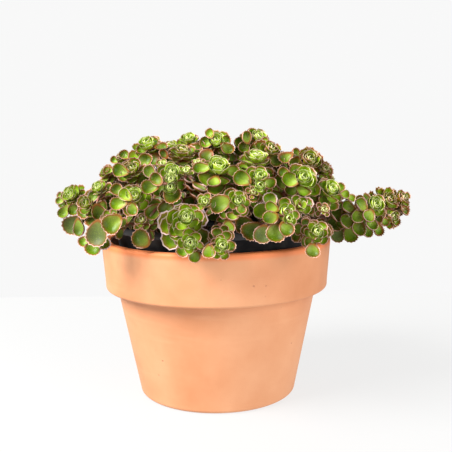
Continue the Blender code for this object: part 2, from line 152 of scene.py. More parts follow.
def crease_rims(mesh: bpy.types.Mesh) -> None:
    """Mark the edges along each leaf's rim as sharp, so that its two faces are shaded apart.

    Args:
        mesh: A mesh whose points carry the mark reach, which is 1 on the rim.
    """
    reach = np.zeros(len(mesh.vertices), dtype=np.float32)
    mesh.attributes["reach"].data.foreach_get("value", reach)
    ends = np.zeros(len(mesh.edges) * 2, dtype=np.int32)
    mesh.edges.foreach_get("vertices", ends)
    on_rim = (reach > 0.999)[ends].reshape(-1, 2).all(axis=1)
    mesh.attributes.new("sharp_edge", "BOOLEAN", "EDGE").data.foreach_set("value", on_rim)


def add_piece(name: str, surfaces: list[Surface], finishes: list[Material]) -> Piece:
    """Put surfaces in the scene as one object at the origin.

    Args:
        name: Name of the object and of its mesh.
        surfaces: Its surfaces, with its place in their points.
        finishes: Materials in the order of the mesh's slots.

    Returns:
        The new object.
    """
    mesh = mesh_of(name, surfaces)
    thing = bpy.data.objects.new(name, mesh)
    bpy.context.scene.collection.objects.link(thing)
    for finish in finishes:
        mesh.materials.append(finish)
    return thing


def register(piece: Piece, node: str) -> None:
    """Let a piece ride on the body and stand for a CAD node, and log its number of faces.

    Args:
        piece: The finished piece.
        node: CAD node that it replaces.
    """
    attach(piece, BODY)
    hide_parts(node)
    LOG.info("%s: %d faces", piece.name, len(piece.data.polygons))


def grid_faces(rows: int, columns: int, start: int = 0) -> np.ndarray:
    """Four-sided faces between rows of points that each close on themselves.

    Args:
        rows: Number of rows.
        columns: Points in a row.
        start: Number of the first point.

    Returns:
        Point numbers, four to a face.
    """
    row = start + np.arange(rows - 1)[:, None] * columns
    column = np.arange(columns)[None, :]
    beside = (column + 1) % columns
    corners = (row + column, row + columns + column, row + columns + beside, row + beside)
    return np.stack(corners, axis=-1).reshape(-1, 4)


def fan(middle: int, first: int, count: int) -> np.ndarray:
    """Triangles (middle, i, i + 1) between a middle point and a ring that closes on itself.

    Args:
        middle: Number of the middle point.
        first: Number of the ring's first point.
        count: Points in the ring.

    Returns:
        Point numbers, three to a face.
    """
    around = np.arange(count)
    return np.stack([np.full(count, middle), first + around, first + (around + 1) % count], axis=-1)


def capped(rings: np.ndarray, poles: np.ndarray | list[Point], finish: int = 0) -> Surface:
    """A closed surface of rings, with a pole under the first and one over the last.

    Args:
        rings: Rings by points by three, counter-clockwise as seen from the last pole.
        poles: The two poles.
        finish: Number of its material slot.

    Returns:
        The surface, facing outwards.
    """
    rows, sides = rings.shape[:2]
    ends = rows * sides
    faces = [grid_faces(rows, sides)[:, ::-1], fan(ends, 0, sides)[:, ::-1],
             fan(ends + 1, ends - sides, sides)]
    return Surface(np.vstack([rings.reshape(-1, 3), poles]), faces, finish=finish)


def turned(profile: np.ndarray, sides: int) -> Surface:
    """Turn a closed profile about Z: (r, z) becomes (r cos a, r sin a, z).

    Args:
        profile: Rows of radius and height, from the lower pole out, over the top and in to the upper one.
        sides: Points round the axis.

    Returns:
        A closed surface that faces outwards.
    """
    ring = profile[1:-1]
    angle = np.arange(sides) * math.tau / sides
    x = ring[:, :1] * np.cos(angle)
    y = ring[:, :1] * np.sin(angle)
    rings = np.stack([x, y, np.broadcast_to(ring[:, 1:], x.shape)], axis=-1)
    return capped(rings, [(0.0, 0.0, profile[0, 1]), (0.0, 0.0, profile[-1, 1])])


def rounded(centre: Pair, radius: float, start: float, end: float, steps: int) -> np.ndarray:
    """Points of a rounded corner: centre + radius (cos a, sin a).

    Args:
        centre: Radius and height of the corner's centre.
        radius: Its rounding.
        start: First angle in degrees.
        end: Last angle in degrees.
        steps: Number of steps between them.

    Returns:
        Rows of radius and height.
    """
    angle = np.radians(np.linspace(start, end, steps + 1))
    return np.stack([centre[0] + radius * np.cos(angle), centre[1] + radius * np.sin(angle)], axis=-1)


def smooth_path(knots: list[Vector], steps: int) -> np.ndarray:
    """A Catmull-Rom curve through knots.

    Between knots b and c with neighbours a and d it is
    (2 b + (c - a) t + (2 a - 5 b + 4 c - d) t^2 + (3 b - a - 3 c + d) t^3) / 2.

    Args:
        knots: Points that the curve passes through.
        steps: Steps between two knots.

    Returns:
        Points of the curve, one to a row.
    """
    knot = np.array([tuple(point) for point in knots])
    knot = np.vstack([2.0 * knot[0] - knot[1], knot, 2.0 * knot[-1] - knot[-2]])
    before, here, there, after = (knot[i:len(knot) - 3 + i, None, :] for i in range(4))
    t = (np.arange(steps) / steps)[None, :, None]
    curve = 2.0 * here + (there - before) * t
    curve = curve + (2.0 * before - 5.0 * here + 4.0 * there - after) * t ** 2
    curve = (curve + (3.0 * here - before - 3.0 * there + after) * t ** 3) * 0.5
    return np.vstack([curve.reshape(-1, 3), knot[-2:-1]])


def tube(path: np.ndarray, radii: np.ndarray, sides: int, finish: int) -> Surface:
    """A round tube: path(s) + radius(s) (cos a N(s) + sin a B(s)), closed by a pole at each end.

    N is square to the plane that the path mostly lies in and B is square to N and to the path.

    Args:
        path: Points of the middle line.
        radii: Radius at each point.
        sides: Points round the tube.
        finish: Number of its material slot.

    Returns:
        A closed surface.
    """
    run = np.gradient(path, axis=0)
    run /= np.linalg.norm(run, axis=1, keepdims=True)
    span = path[-1] - path[0]
    flat = np.cross(span, (0.0, 0.0, 1.0))
    if np.linalg.norm(flat) < 0.1 * np.linalg.norm(span):
        flat = np.array((0.0, 1.0, 0.0))
    first = flat - run * (run @ flat)[:, None]
    first /= np.linalg.norm(first, axis=1, keepdims=True)
    second = np.cross(run, first)
    angle = np.arange(sides) * math.tau / sides
    ring = np.cos(angle)[None, :, None] * first[:, None, :]
    ring = ring + np.sin(angle)[None, :, None] * second[:, None, :]
    return capped(path[:, None, :] + radii[:, None, None] * ring, path[[0, -1]], finish)


@dataclass
class NodeBoard:
    """A material's node tree, with short calls that add and join nodes."""

    material: Material

    @classmethod
    def fresh(cls, name: str) -> NodeBoard:
        """A new material whose tree holds only a Principled shader and its output.

        Args:
            name: Name of the material.

        Returns:
            Its board.
        """
        material = bpy.data.materials.new(name)
        material.use_nodes = True
        return cls(material)

    @property
    def place(self) -> Socket:
        """Object coordinates, in metres."""
        return self.add("ShaderNodeTexCoord").outputs["Object"]

    @property
    def shader(self) -> bpy.types.Node:
        """The Principled shader."""
        return self.material.node_tree.nodes["Principled BSDF"]

    def add(self, kind: str, **settings: object) -> bpy.types.Node:
        """Add a node and set its own properties.

        Args:
            kind: Blender's name of the node.
            settings: Properties of the node.

        Returns:
            The node.
        """
        node = self.material.node_tree.nodes.new(kind)
        for key, value in settings.items():
            setattr(node, key, value)
        return node

    def feed(self, socket: Socket, value: object) -> None:
        """Join an output to a socket, or set the socket to a number or colour.

        Args:
            socket: The socket to feed.
            value: An output, a number, or the channels of a colour.
        """
        if isinstance(value, Socket):
            self.material.node_tree.links.new(value, socket)
        elif isinstance(value, tuple):
            socket.default_value = (*value, 1.0) if len(value) == 3 and socket.type == "RGBA" else value
        else:
            socket.default_value = value

    def mark(self, name: str) -> Socket:
        """The number that the mesh carries under a mark."""
        return self.add("ShaderNodeAttribute", attribute_name=name).outputs["Fac"]

    def sum(self, kind: str, first: object, second: object, clamp: bool = False) -> Socket:
        """A Math node on two numbers.

        Args:
            kind: Blender's name of the operation.
            first: First number or output.
            second: Second number or output.
            clamp: Whether the result stays between 0 and 1.

        Returns:
            The result.
        """
        node = self.add("ShaderNodeMath", operation=kind, use_clamp=clamp)
        self.feed(node.inputs[0], first)
        self.feed(node.inputs[1], second)
        return node.outputs[0]

    def ease(self, value: object, low: float, high: float, start: float = 0.0, end: float = 1.0
             ) -> Socket:
        """Map a number from low..high to start..end along a smooth step.

        Args:
            value: The number or output to map.
            low: Where the step starts.
            high: Where it ends, which may be under its start.
            start: Result before the step.
            end: Result after it.

        Returns:
            The mapped number.
        """
        node = self.add("ShaderNodeMapRange", interpolation_type="SMOOTHSTEP")
        for i, entry in enumerate((value, low, high, start, end)):
            self.feed(node.inputs[i], entry)
        return node.outputs[0]

    def mix(self, share: object, first: object, second: object) -> Socket:
        """Blend two colours.

        Args:
            share: Share of the second colour.
            first: First colour or output.
            second: Second colour or output.

        Returns:
            The blend.
        """
        node = self.add("ShaderNodeMix", data_type="RGBA")
        self.feed(node.inputs[0], share)
        self.feed(node.inputs[6], first)
        self.feed(node.inputs[7], second)
        return node.outputs[2]

    def ramp(self, value: object, stops: tuple[tuple[float, Point], ...]) -> Socket:
        """Run a number through a ramp of colours.

        Args:
            value: The number or output.
            stops: Place and colour of each stop.

        Returns:
            The colour.
        """
        node = self.add("ShaderNodeValToRGB")
        while len(node.color_ramp.elements) < len(stops):
            node.color_ramp.elements.new(1.0)
        for element, (place, colour) in zip(node.color_ramp.elements, stops):
            element.position = place
            element.color = (*colour, 1.0)
        self.feed(node.inputs[0], value)
        return node.outputs[0]

    def noise(self, scale: float, detail: float = 3.0, roughness: float = 0.5,
              stretch: Point = (1.0, 1.0, 1.0)) -> Socket:
        """Noise on Object coordinates.

        Args:
            scale: Waves to a metre.
            detail: Number of finer layers.
            roughness: Strength of the finer layers.
            stretch: Factor on each axis.

        Returns:
            The noise, between 0 and 1.
        """
        mapping = self.add("ShaderNodeMapping")
        self.feed(mapping.inputs["Vector"], self.place)
        mapping.inputs["Scale"].default_value = stretch
        node = self.add("ShaderNodeTexNoise")
        self.feed(node.inputs["Vector"], mapping.outputs[0])
        self.feed(node.inputs["Scale"], scale)
        self.feed(node.inputs["Detail"], detail)
        self.feed(node.inputs["Roughness"], roughness)
        return node.outputs["Fac"]

    def cells(self, scale: float) -> Socket:
        """A cell pattern on Object coordinates.

        Args:
            scale: Cells to a metre.

        Returns:
            Distance to the nearest seed.
        """
        node = self.add("ShaderNodeTexVoronoi", feature="F1")
        self.feed(node.inputs["Vector"], self.place)
        self.feed(node.inputs["Scale"], scale)
        return node.outputs["Distance"]

    def bump(self, height: object, strength: float, distance: float,
             below: object = None) -> Socket:
        """A Bump node, on top of another one where that is given.

        Args:
            height: The height map.
            strength: Its strength, from 0 to 1.
            distance: Its height in metres.
            below: The bump underneath.

        Returns:
            The bent normal.
        """
        node = self.add("ShaderNodeBump")
        self.feed(node.inputs["Strength"], strength)
        self.feed(node.inputs["Distance"], distance)
        self.feed(node.inputs["Height"], height)
        if below is not None:
            self.feed(node.inputs["Normal"], below)
        return node.outputs[0]

    def dress(self, colour: object, roughness: object, normal: object = None) -> Material:
        """Give the shader its colour, roughness and bump.

        Args:
            colour: Base colour.
            roughness: Roughness.
            normal: Bump, where there is one.

        Returns:
            The material.
        """
        self.feed(self.shader.inputs["Base Color"], colour)
        self.feed(self.shader.inputs["Roughness"], roughness)
        if normal is not None:
            self.feed(self.shader.inputs["Normal"], normal)
        return self.material


@dataclass(frozen=True)
class ClayFinish:
    """Smooth fired clay: warm orange with soft clouds, fine specks, small pits, turning lines and a painted
    band of light on the rim's top.
    """

    base: Point = (0.62, 0.267, 0.123)
    pale: Point = (0.68, 0.33, 0.17)
    dark: Point = (0.54, 0.205, 0.082)
    speck: Point = (0.36, 0.14, 0.07)
    # Painted light: the colour of a brighter orange band along the top of the rim.
    painted_rim_light: Point = (0.72, 0.19, 0.05)
    rim_height: float = 0.116
    glow_start: float = 0.0055
    glow_end: float = 0.002
    roughness: float = 0.62
    uneven: float = 0.06

    def material(self) -> Material:
        """Build the clay's nodes.

        Returns:
            The material.
        """
        board = NodeBoard.fresh("terracotta")
        clouds = board.noise(16.0, 4.0, 0.55)
        streaks = board.noise(30.0, 3.0, 0.6, (0.35, 0.35, 3.0))
        colour = board.ramp(clouds, ((0.30, self.dark), (0.50, self.base), (0.72, self.pale)))
        colour = board.mix(board.ease(streaks, 0.55, 0.75, 0.0, 0.35), colour, self.pale)
        grain = board.noise(900.0, 2.0, 0.6)
        colour = board.mix(board.ease(grain, 0.60, 0.80, 0.0, 0.25), colour, self.dark)
        # Painted light: the top of the rim is mixed towards a brighter orange, by height.
        split = board.add("ShaderNodeSeparateXYZ")
        board.feed(split.inputs[0], board.place)
        lit = board.ease(split.outputs["Z"], self.rim_height - self.glow_start,
                         self.rim_height - self.glow_end, 0.0, 0.85)
        colour = board.mix(lit, colour, self.painted_rim_light)
        pits = board.cells(170.0)
        rare = board.noise(60.0, 1.0)
        pit = board.sum("MULTIPLY", board.ease(pits, 0.16, 0.07), board.ease(rare, 0.62, 0.68))
        colour = board.mix(board.sum("MULTIPLY", pit, 0.55), colour, self.speck)
        low = board.bump(grain, 0.12, 0.0004)
        lines = board.bump(board.noise(60.0, 2.0, 0.5, (0.05, 0.05, 14.0)), 0.05, 0.0006, low)
        normal = board.bump(board.sum("SUBTRACT", 1.0, pit), 0.5, 0.0006, lines)
        roughness = board.ease(clouds, 0.3, 0.7, self.roughness - self.uneven, self.roughness + self.uneven)
        return board.dress(colour, roughness, normal)


@dataclass(frozen=True)
class PlasticFinish:
    """Thin black grow pot plastic, semi-matt, with a little dust."""

    base: Point = (0.020, 0.021, 0.023)
    dust: Point = (0.085, 0.080, 0.072)

    def material(self) -> Material:
        """Build the plastic's nodes.

        Returns:
            The material.
        """
        board = NodeBoard.fresh("grow_pot_plastic")
        dust = board.noise(70.0, 4.0, 0.6)
        colour = board.mix(board.ease(dust, 0.45, 0.75, 0.0, 0.6), self.base, self.dust)
        grain = board.noise(1400.0, 1.0)
        roughness = board.ease(dust, 0.35, 0.7, 0.38, 0.6)
        return board.dress(colour, roughness, board.bump(grain, 0.12, 0.0002))


@dataclass(frozen=True)
class SoilFinish:
    """Damp peaty soil with paler crumbs and a few grains of grit."""

    dark: Point = (0.018, 0.012, 0.008)
    light: Point = (0.085, 0.055, 0.033)
    grit: Point = (0.34, 0.30, 0.24)

    def material(self) -> Material:
        """Build the soil's nodes.

        Returns:
            The material.
        """
        board = NodeBoard.fresh("soil")
        lumps = board.noise(260.0, 5.0, 0.65)
        colour = board.ramp(lumps, ((0.32, self.dark), (0.70, self.light)))
        grit = board.ease(board.cells(420.0), 0.14, 0.08)
        rare = board.ease(board.noise(240.0, 0.0), 0.58, 0.64)
        colour = board.mix(board.sum("MULTIPLY", grit, rare), colour, self.grit)
        return board.dress(colour, 0.95, board.bump(lumps, 0.8, 0.0012))


@dataclass(frozen=True)
class LeafFinish:
    """Waxy sedum leaf, coloured by the marks that its mesh carries.

    reach runs from the blade's middle to its rim, margin is the distance to the rim in millimetres,
    along runs from root to tip, under tells the lower face, age runs from a crown's heart outwards,
    blush is how red the leaf is, frost how pale its rim is, bloom how grey its face is, and tint
    shifts its age a little.
    """

    lime: Point = (0.46, 0.62, 0.045)
    fresh: Point = (0.175, 0.305, 0.001)
    green: Point = (0.066, 0.146, 0.0005)
    olive: Point = (0.038, 0.064, 0.001)
    # Painted highlight: pale mint laid on the base of the upper face.
    painted_mint_sheen: Point = (0.50, 0.65, 0.100)
    ash: Point = (0.100, 0.122, 0.045)
    red: Point = (0.20, 0.040, 0.010)
    brown: Point = (0.22, 0.064, 0.014)
    back: Point = (0.155, 0.130, 0.022)
    young_rim: Point = (0.76, 0.79, 0.40)
    rim: Point = (0.74, 0.460, 0.370)
    ruddy_rim: Point = (0.52, 0.260, 0.190)
    lilac: Point = (0.56, 0.42, 0.42)
    glow_through: float = 0.10
    glow_colour: Point = (0.6, 1.0, 0.3)
    glow_depth: float = 0.0015
    specular: float = 0.13

    def face(self, board: NodeBoard, age: Socket) -> Socket:
        """Colour of the blade: age runs through the greens, and the upper face pales to its base as painted
        highlight and painted cup shading.

        Args:
            board: The leaf's nodes.
            age: Age of each place on the leaf.

        Returns:
            The colour.
        """
        under = board.mark("under")
        stops = ((0.0, self.lime), (0.28, self.fresh), (0.62, self.green), (1.0, self.olive))
        # Painted highlight and painted shade: the upper face pales to mint at its base, which leaves its tip
        # half darker as shade in the cup.
        pale = board.sum("MULTIPLY", board.ease(board.mark("along"), 0.80, 0.26), 0.46)
        pale = board.sum("MULTIPLY", pale, board.ease(age, 0.55, 1.0, 1.0, 0.45))
        upper = board.mix(pale, board.ramp(age, stops), self.painted_mint_sheen)
        back = board.mix(board.sum("MULTIPLY", board.mark("blush"), 0.5, clamp=True), self.back, self.red)
        dull = board.ease(age, 0.15, 0.60, 0.10, 0.75)
        lower = board.mix(dull, board.ramp(age, stops), back)
        colour = board.mix(under, upper, lower)
        return board.mix(board.sum("MULTIPLY", board.mark("bloom"), 0.9), colour, self.ash)

    def edged(self, board: NodeBoard, colour: Socket, age: Socket,
              patches: Socket) -> Socket:
        """The blade's colour with its red flush, its brown seam and its pale toothed rim.

        Args:
            board: The leaf's nodes.
            colour: Colour of the blade.
            age: Age of each place on the leaf.
            patches: Soft noise that varies the flush.

        Returns:
            The colour.
        """
        reach = board.mark("reach")
        frost = board.mark("frost")
        flush = board.sum("MULTIPLY", board.mark("blush"), board.ease(reach, 0.35, 1.0))
        flush = board.sum("MULTIPLY", flush, board.ease(patches, 0.25, 0.6, 0.5, 1.1), clamp=True)
        colour = board.mix(flush, colour, self.red)
        seam = board.ease(board.mark("margin"), 1.95, 0.80)
        seam = board.sum("MULTIPLY", seam, board.ease(age, 0.1, 0.5, 0.0, 0.85))
        colour = board.mix(seam, colour, self.brown)
        margin = board.sum("SUBTRACT", board.mark("margin"), board.sum("MULTIPLY", frost, 0.50))
        margin = board.sum("ADD", margin, board.ease(board.noise(900.0, 1.0), 0.3, 0.7, -0.12, 0.12))
        rim = board.mix(board.ease(board.noise(260.0, 2.0), 0.40, 0.62), self.ruddy_rim, self.rim)
        rim = board.mix(board.ease(age, 0.12, 0.42), self.young_rim, rim)
        rim = board.mix(frost, rim, self.lilac)
        share = board.ease(board.mark("along"), 0.10, 0.38)
        share = board.sum("MULTIPLY", board.ease(margin, 0.62, 0.38), share)
        return board.mix(share, colour, rim)

    def material(self) -> Material:
        """Build the leaf's nodes.

        Returns:
            The material.
        """
        board = NodeBoard.fresh("sedum_leaf")
        patches = board.noise(150.0, 3.0, 0.6)
        age = board.sum("ADD", board.mark("age"), board.sum("MULTIPLY", board.mark("tint"), 0.16))
        age = board.sum("ADD", age, board.ease(patches, 0.3, 0.7, -0.11, 0.11), clamp=True)
        colour = self.edged(board, self.face(board, age), age, patches)
        cells = board.noise(1600.0, 2.0, 0.5)
        colour = board.mix(board.ease(cells, 0.50, 0.75, 0.0, 0.16), colour, self.lime)
        roughness = board.ease(patches, 0.3, 0.7, 0.26, 0.40)
        board.shader.inputs["Subsurface Weight"].default_value = self.glow_through
        board.shader.inputs["Subsurface Radius"].default_value = self.glow_colour
        board.shader.inputs["Subsurface Scale"].default_value = self.glow_depth
        board.shader.inputs["Specular IOR Level"].default_value = self.specular
        return board.dress(colour, roughness, board.bump(cells, 0.16, 0.0002))


@dataclass(frozen=True)
class StemFinish:
    """Fleshy stem, olive and reddish brown in soft patches, with pale scars."""

    young: Point = (0.16, 0.17, 0.06)
    ruddy: Point = (0.26, 0.07, 0.05)
    scar: Point = (0.40, 0.27, 0.18)

    def material(self) -> Material:
        """Build the stem's nodes.

        Returns:
            The material.
        """
        board = NodeBoard.fresh("sedum_stem")
        patches = board.noise(220.0, 3.0)
        colour = board.mix(board.ease(patches, 0.35, 0.6), self.young, self.ruddy)
        scars = board.ease(board.cells(380.0), 0.30, 0.18)
        colour = board.mix(board.sum("MULTIPLY", scars, 0.5), colour, self.scar)
        return board.dress(colour, 0.5, board.bump(patches, 0.4, 0.0005))


@dataclass(frozen=True)
class FloorFinish:
    """Plain pale studio floor with hardly any grain."""

    colour: Point = (0.09, 0.09, 0.089)
    light: Point = (1.0, 1.0, 0.995)
    glow: float = 0.765
    dimmer: float = 0.985

    def material(self) -> Material:
        """Build the floor's nodes.

        Returns:
            The material.
        """
        board = NodeBoard.fresh("studio_floor")
        board.feed(board.shader.inputs["Emission Color"], self.light)
        board.shader.inputs["Emission Strength"].default_value = self.glow
        grain = board.noise(9.0, 2.0)
        dim = tuple(channel * self.dimmer for channel in self.colour)
        return board.dress(board.mix(grain, self.colour, dim), 0.7)


@dataclass
class TerracottaPot:
    """The clay pot: a thick rim band over a plain tapered body, with drain holes in its floor."""

    height: float = 116.0
    rim_radius: float = 85.0
    rim_rounding: float = 2.0
    rim_wall: float = 7.2
    band_low_radius: float = 82.6
    band_low_height: float = 84.0
    band_inside_step: float = 6.0
    neck_radius: float = 74.1
    neck_height: float = 79.5
    neck_fillet: float = 1.2
    foot_radius: float = 58.2
    foot_rounding: float = 3.0
    body_wall: float = 6.6
    floor: float = 9.0
    floor_fillet: float = 3.0
    drain_radius: float = 5.0
    drain_ring: float = 26.0
    drains: int = 3
    cut_past: float = 5.0
    sides: int = 144

    def body_radius(self, height: float) -> float:
        """Outer radius of the body at a height."""
        return self.foot_radius + (self.neck_radius - self.foot_radius) * height / self.neck_height

    def profile(self) -> np.ndarray:
        """Closed profile from the middle of the foot out, over the rim and down the inside.

        Returns:
            Rows of radius and height.
        """
        rounding = self.rim_rounding
        inside = self.floor + self.floor_fillet
        inner = self.rim_radius - self.rim_wall
        foot = self.body_radius(self.foot_rounding) - self.foot_rounding
        fillet_centre = (self.neck_radius + self.neck_fillet, self.neck_height - self.neck_fillet)
        well = self.body_radius(inside) - self.body_wall
        rows = [
            [(0.0, 0.0), (self.drain_ring * 0.5, 0.0), (self.drain_ring * 1.5, 0.0)],
            rounded((foot, self.foot_rounding), self.foot_rounding, -90, 0, 6),
            [(self.body_radius(h), h) for h in np.linspace(8.0, self.neck_height - 3.0, 12)],
            rounded(fillet_centre, self.neck_fillet, 180, 90, 4),
            rounded((self.band_low_radius - rounding, self.band_low_height - rounding), rounding, -70, 0, 6),
            [(self.band_low_radius + (self.rim_radius - self.band_low_radius) * s,
              self.band_low_height + (self.height - rounding - self.band_low_height) * s)
             for s in np.linspace(0.1, 0.9, 6)],
            rounded((self.rim_radius - rounding, self.height - rounding), rounding, 0, 90, 8),
            rounded((inner + rounding, self.height - rounding), rounding, 90, 180, 8),
            [(inner, self.band_low_height + self.band_inside_step)],
            [(self.neck_radius - self.body_wall, self.neck_height)],
            rounded((well - self.floor_fillet, inside), self.floor_fillet, 0, -90, 5),
            [(self.drain_ring * 1.5, self.floor), (self.drain_ring * 0.5, self.floor), (0.0, self.floor)],
        ]
        return np.vstack([np.array(block, dtype=float) for block in rows])

    def build(self, finish: Material) -> None:
        """Turn the profile, cut the drain holes and dress the pot.

        Args:
            finish: The clay.
        """
        piece = add_piece("clay_pot", [turned(self.profile(), self.sides)], [finish])
        span = (-self.cut_past, self.floor + self.cut_past)
        cut_holes(piece, self.drains, self.drain_ring, self.drain_radius, span)
        register(piece, "terracotta_pot")


@dataclass
class GrowPot:
    """The thin plastic pot inside the clay one, with a rolled lip and drain holes."""

    top: float = 128.0
    foot: float = 9.3
    foot_radius: float = 50.0
    taper: float = 0.215
    wall: float = 1.3
    lip: float = 1.2
    lip_depth: float = 5.0
    edge: float = 0.55
    chamfer: float = 1.5
    hole_radius: float = 4.0
    hole_ring: float = 38.0
    holes: int = 6
    cut_below: float = 4.0
    cut_above: float = 5.0
    sides: int = 128

    def radius(self, height: float) -> float:
        """Outer radius of the wall at a height."""
        return self.foot_radius + self.taper * (height - self.foot)

    def profile(self) -> np.ndarray:
        """Closed profile from the middle of the foot out, over the lip and down the inside.

        Returns:
            Rows of radius and height.
        """
        lip_low = self.top - self.lip_depth
        lip = self.radius(lip_low) + self.lip
        bead = self.edge
        rows = [
            [(0.0, self.foot), (self.hole_ring * 0.4, self.foot)],
            [(self.foot_radius - self.chamfer, self.foot)],
            [(self.radius(self.foot + self.chamfer), self.foot + self.chamfer)],
            [(self.radius(h), h) for h in np.linspace(20.0, lip_low - 0.3, 10)],
            rounded((lip - bead, lip_low + bead), bead, -90, 0, 3),
            rounded((lip - bead, self.top - bead), bead, 0, 90, 4),
            rounded((self.radius(self.top) - self.wall + bead, self.top - bead), bead, 90, 180, 4),
            [(self.radius(h) - self.wall, h) for h in np.linspace(self.top - 5.0, 20.0, 6)],
            [(self.foot_radius - self.wall - self.edge, self.foot + self.wall)],
            [(self.hole_ring * 0.4, self.foot + self.wall), (0.0, self.foot + self.wall)],
        ]
        return np.vstack([np.array(block, dtype=float) for block in rows])

    def build(self, finish: Material) -> None:
        """Turn the profile, cut the drain holes and dress the pot.

        Args:
            finish: The plastic.
        """
        piece = add_piece("plastic_pot", [turned(self.profile(), self.sides)], [finish])
        span = (self.foot - self.cut_below, self.foot + self.cut_above)
        cut_holes(piece, self.holes, self.hole_ring, self.hole_radius, span)
        register(piece, "grow_pot")


def cut_holes(piece: Piece, count: int, ring: float, radius: float, span: Pair) -> None:
    """Cut upright holes, spread evenly on a ring round the axis, with one applied Boolean.

    Args:
        piece: Object to cut.
        count: Number of holes.
        ring: Distance of their middles from the axis.
        radius: Radius of a hole.
        span: Lowest and highest point of the cutters.
    """
    profile = np.array([(0.0, span[0]), (radius, span[0]), (radius, span[1]), (0.0, span[1])])
    cutters = []
    for i in range(count):
        around = math.tau * (i + 0.5) / count
        pin = turned(profile, COARSE_SIDES)
        pin.points = pin.points + np.array((ring * math.cos(around), ring * math.sin(around), 0.0))
        cutters.append(pin)
    cutter = add_piece("hole_cutter", cutters, [])
    cut = piece.modifiers.new("holes", "BOOLEAN")
    cut.operation = "DIFFERENCE"
    cut.solver = "EXACT"
    cut.object = cutter
    bpy.context.view_layer.update()
    shape = bpy.data.meshes.new_from_object(piece.evaluated_get(bpy.context.evaluated_depsgraph_get()))
    piece.modifiers.remove(cut)
    shape.name = piece.name
    piece.data = shape
    bpy.data.objects.remove(cutter, do_unlink=True)


@dataclass
class Soil:
    """Potting soil with an uneven crumbly top, from the grow pot's floor to just under its lip."""

    foot: float = 10.9
    edge_height: float = 115.0
    crown_height: float = 118.0
    chamfer: float = 1.0
    gap: float = 1.9
    rings: int = 40
    sides: int = 150
    grain: float = 0.35
    lump: float = 0.7
    crumbs: int = 420
    crumb_size: Pair = (0.8, 2.4)
    crumb_push: Pair = (0.7, 1.3)
    crumb_reach: float = 0.96
    crumb_sink: float = 0.6
    waist: float = 60.0

    def side_radius(self, height: float, pot: GrowPot) -> float:
        """Radius of the soil at a height, just inside the grow pot's wall."""
        return pot.radius(height) - self.gap

    def top(self, radius: np.ndarray, angle: np.ndarray, edge: float,
            draw: np.random.Generator) -> np.ndarray:
        """Height of the top: a low crown, sine lumps and a grain drawn for each point.

        Args:
            radius: Distance from the axis of each point.
            angle: Angle round the axis of each point.
            edge: Radius of the top's edge.
            draw: Source of the grain.

        Returns:
            Height of each point.
        """
        x = radius * np.cos(angle)
        y = radius * np.sin(angle)
        crown = self.edge_height + (self.crown_height - self.edge_height) * (1.0 - (radius / edge) ** 2)
        lumps = np.sin(x * 0.21 + 1.3) * np.sin(y * 0.25 + 0.4) + 0.5 * np.sin(x * 0.57 + y * 0.43)
        inside = 1.0 - smooth_step(radius / edge, 0.9, 1.0)
        return crown + inside * (self.lump * (lumps - 0.8) - self.grain * draw.random(radius.shape) * 3.0)

    def surface(self, pot: GrowPot) -> Surface:
        """The soil's whole closed surface: a turned wall, and a top of rings round its middle.

        Args:
            pot: The grow pot that holds it.

        Returns:
            The surface, facing outwards.
        """
        draw = np.random.default_rng(SEED)
        edge = self.side_radius(self.edge_height, pot)
        low_radius = self.side_radius(self.foot + self.chamfer, pot)
        wall = np.array([(low_radius - self.chamfer, self.foot), (low_radius, self.foot + self.chamfer),
                         (self.side_radius(self.waist, pot), self.waist)])
        share = np.linspace(1.0 / self.rings, 1.0, self.rings)[::-1, None]
        angle = np.arange(self.sides)[None, :] * math.tau / self.sides
        flat = np.broadcast_to(edge * share, (self.rings, self.sides))
        top = self.top(flat, np.broadcast_to(angle, flat.shape), edge, draw)
        radius = np.vstack([np.broadcast_to(wall[:, :1], (len(wall), self.sides)), flat])
        height = np.vstack([np.broadcast_to(wall[:, 1:], (len(wall), self.sides)), top])
        rings = np.stack([radius * np.cos(angle), radius * np.sin(angle), height], axis=-1)
        return capped(rings, [(0.0, 0.0, self.foot), (0.0, 0.0, self.crown_height - self.lump)])

    def crumb_surface(self, pot: GrowPot) -> Surface:
        """Loose crumbs: eight-sided pebbles, each corner pushed out or in, half sunk in the top.

        Args:
            pot: The grow pot that holds the soil.

        Returns:
            All the crumbs in one surface.
        """
        draw = np.random.default_rng(SEED + 1)
        edge = self.side_radius(self.edge_height, pot)
        count = self.crumbs
        radius = edge * np.sqrt(draw.random(count)) * self.crumb_reach
        angle = draw.random(count) * math.tau
        height = self.edge_height + (self.crown_height - self.edge_height) * (1.0 - (radius / edge) ** 2)
        height = height - self.crumb_sink
        middle = np.stack([radius * np.cos(angle), radius * np.sin(angle), height], axis=-1)
        corner = np.array([(1, 0, 0), (0, 1, 0), (-1, 0, 0), (0, -1, 0), (0, 0, 0.8), (0, 0, -0.8)])
        face = np.vstack([fan(4, 0, 4), fan(5, 0, 4)[:, ::-1]])
        size = between(self.crumb_size, draw.random((count, 1, 1)) ** 3)
        push = between(self.crumb_push, draw.random((count, 6, 1)))
        points = middle[:, None, :] + size * push * corner[None, :, :]
        faces = (np.arange(count)[:, None, None] * 6 + face[None, :, :]).reshape(-1, 3)
        return Surface(points.reshape(-1, 3), [faces])

    def build(self, pot: GrowPot, finish: Material) -> None:
        """Join the soil and its crumbs in one piece.

        Args:
            pot: The grow pot that holds it.
            finish: The soil's material.
        """
        piece = add_piece("potting_soil", [self.surface(pot), self.crumb_surface(pot)], [finish])
        register(piece, "soil")


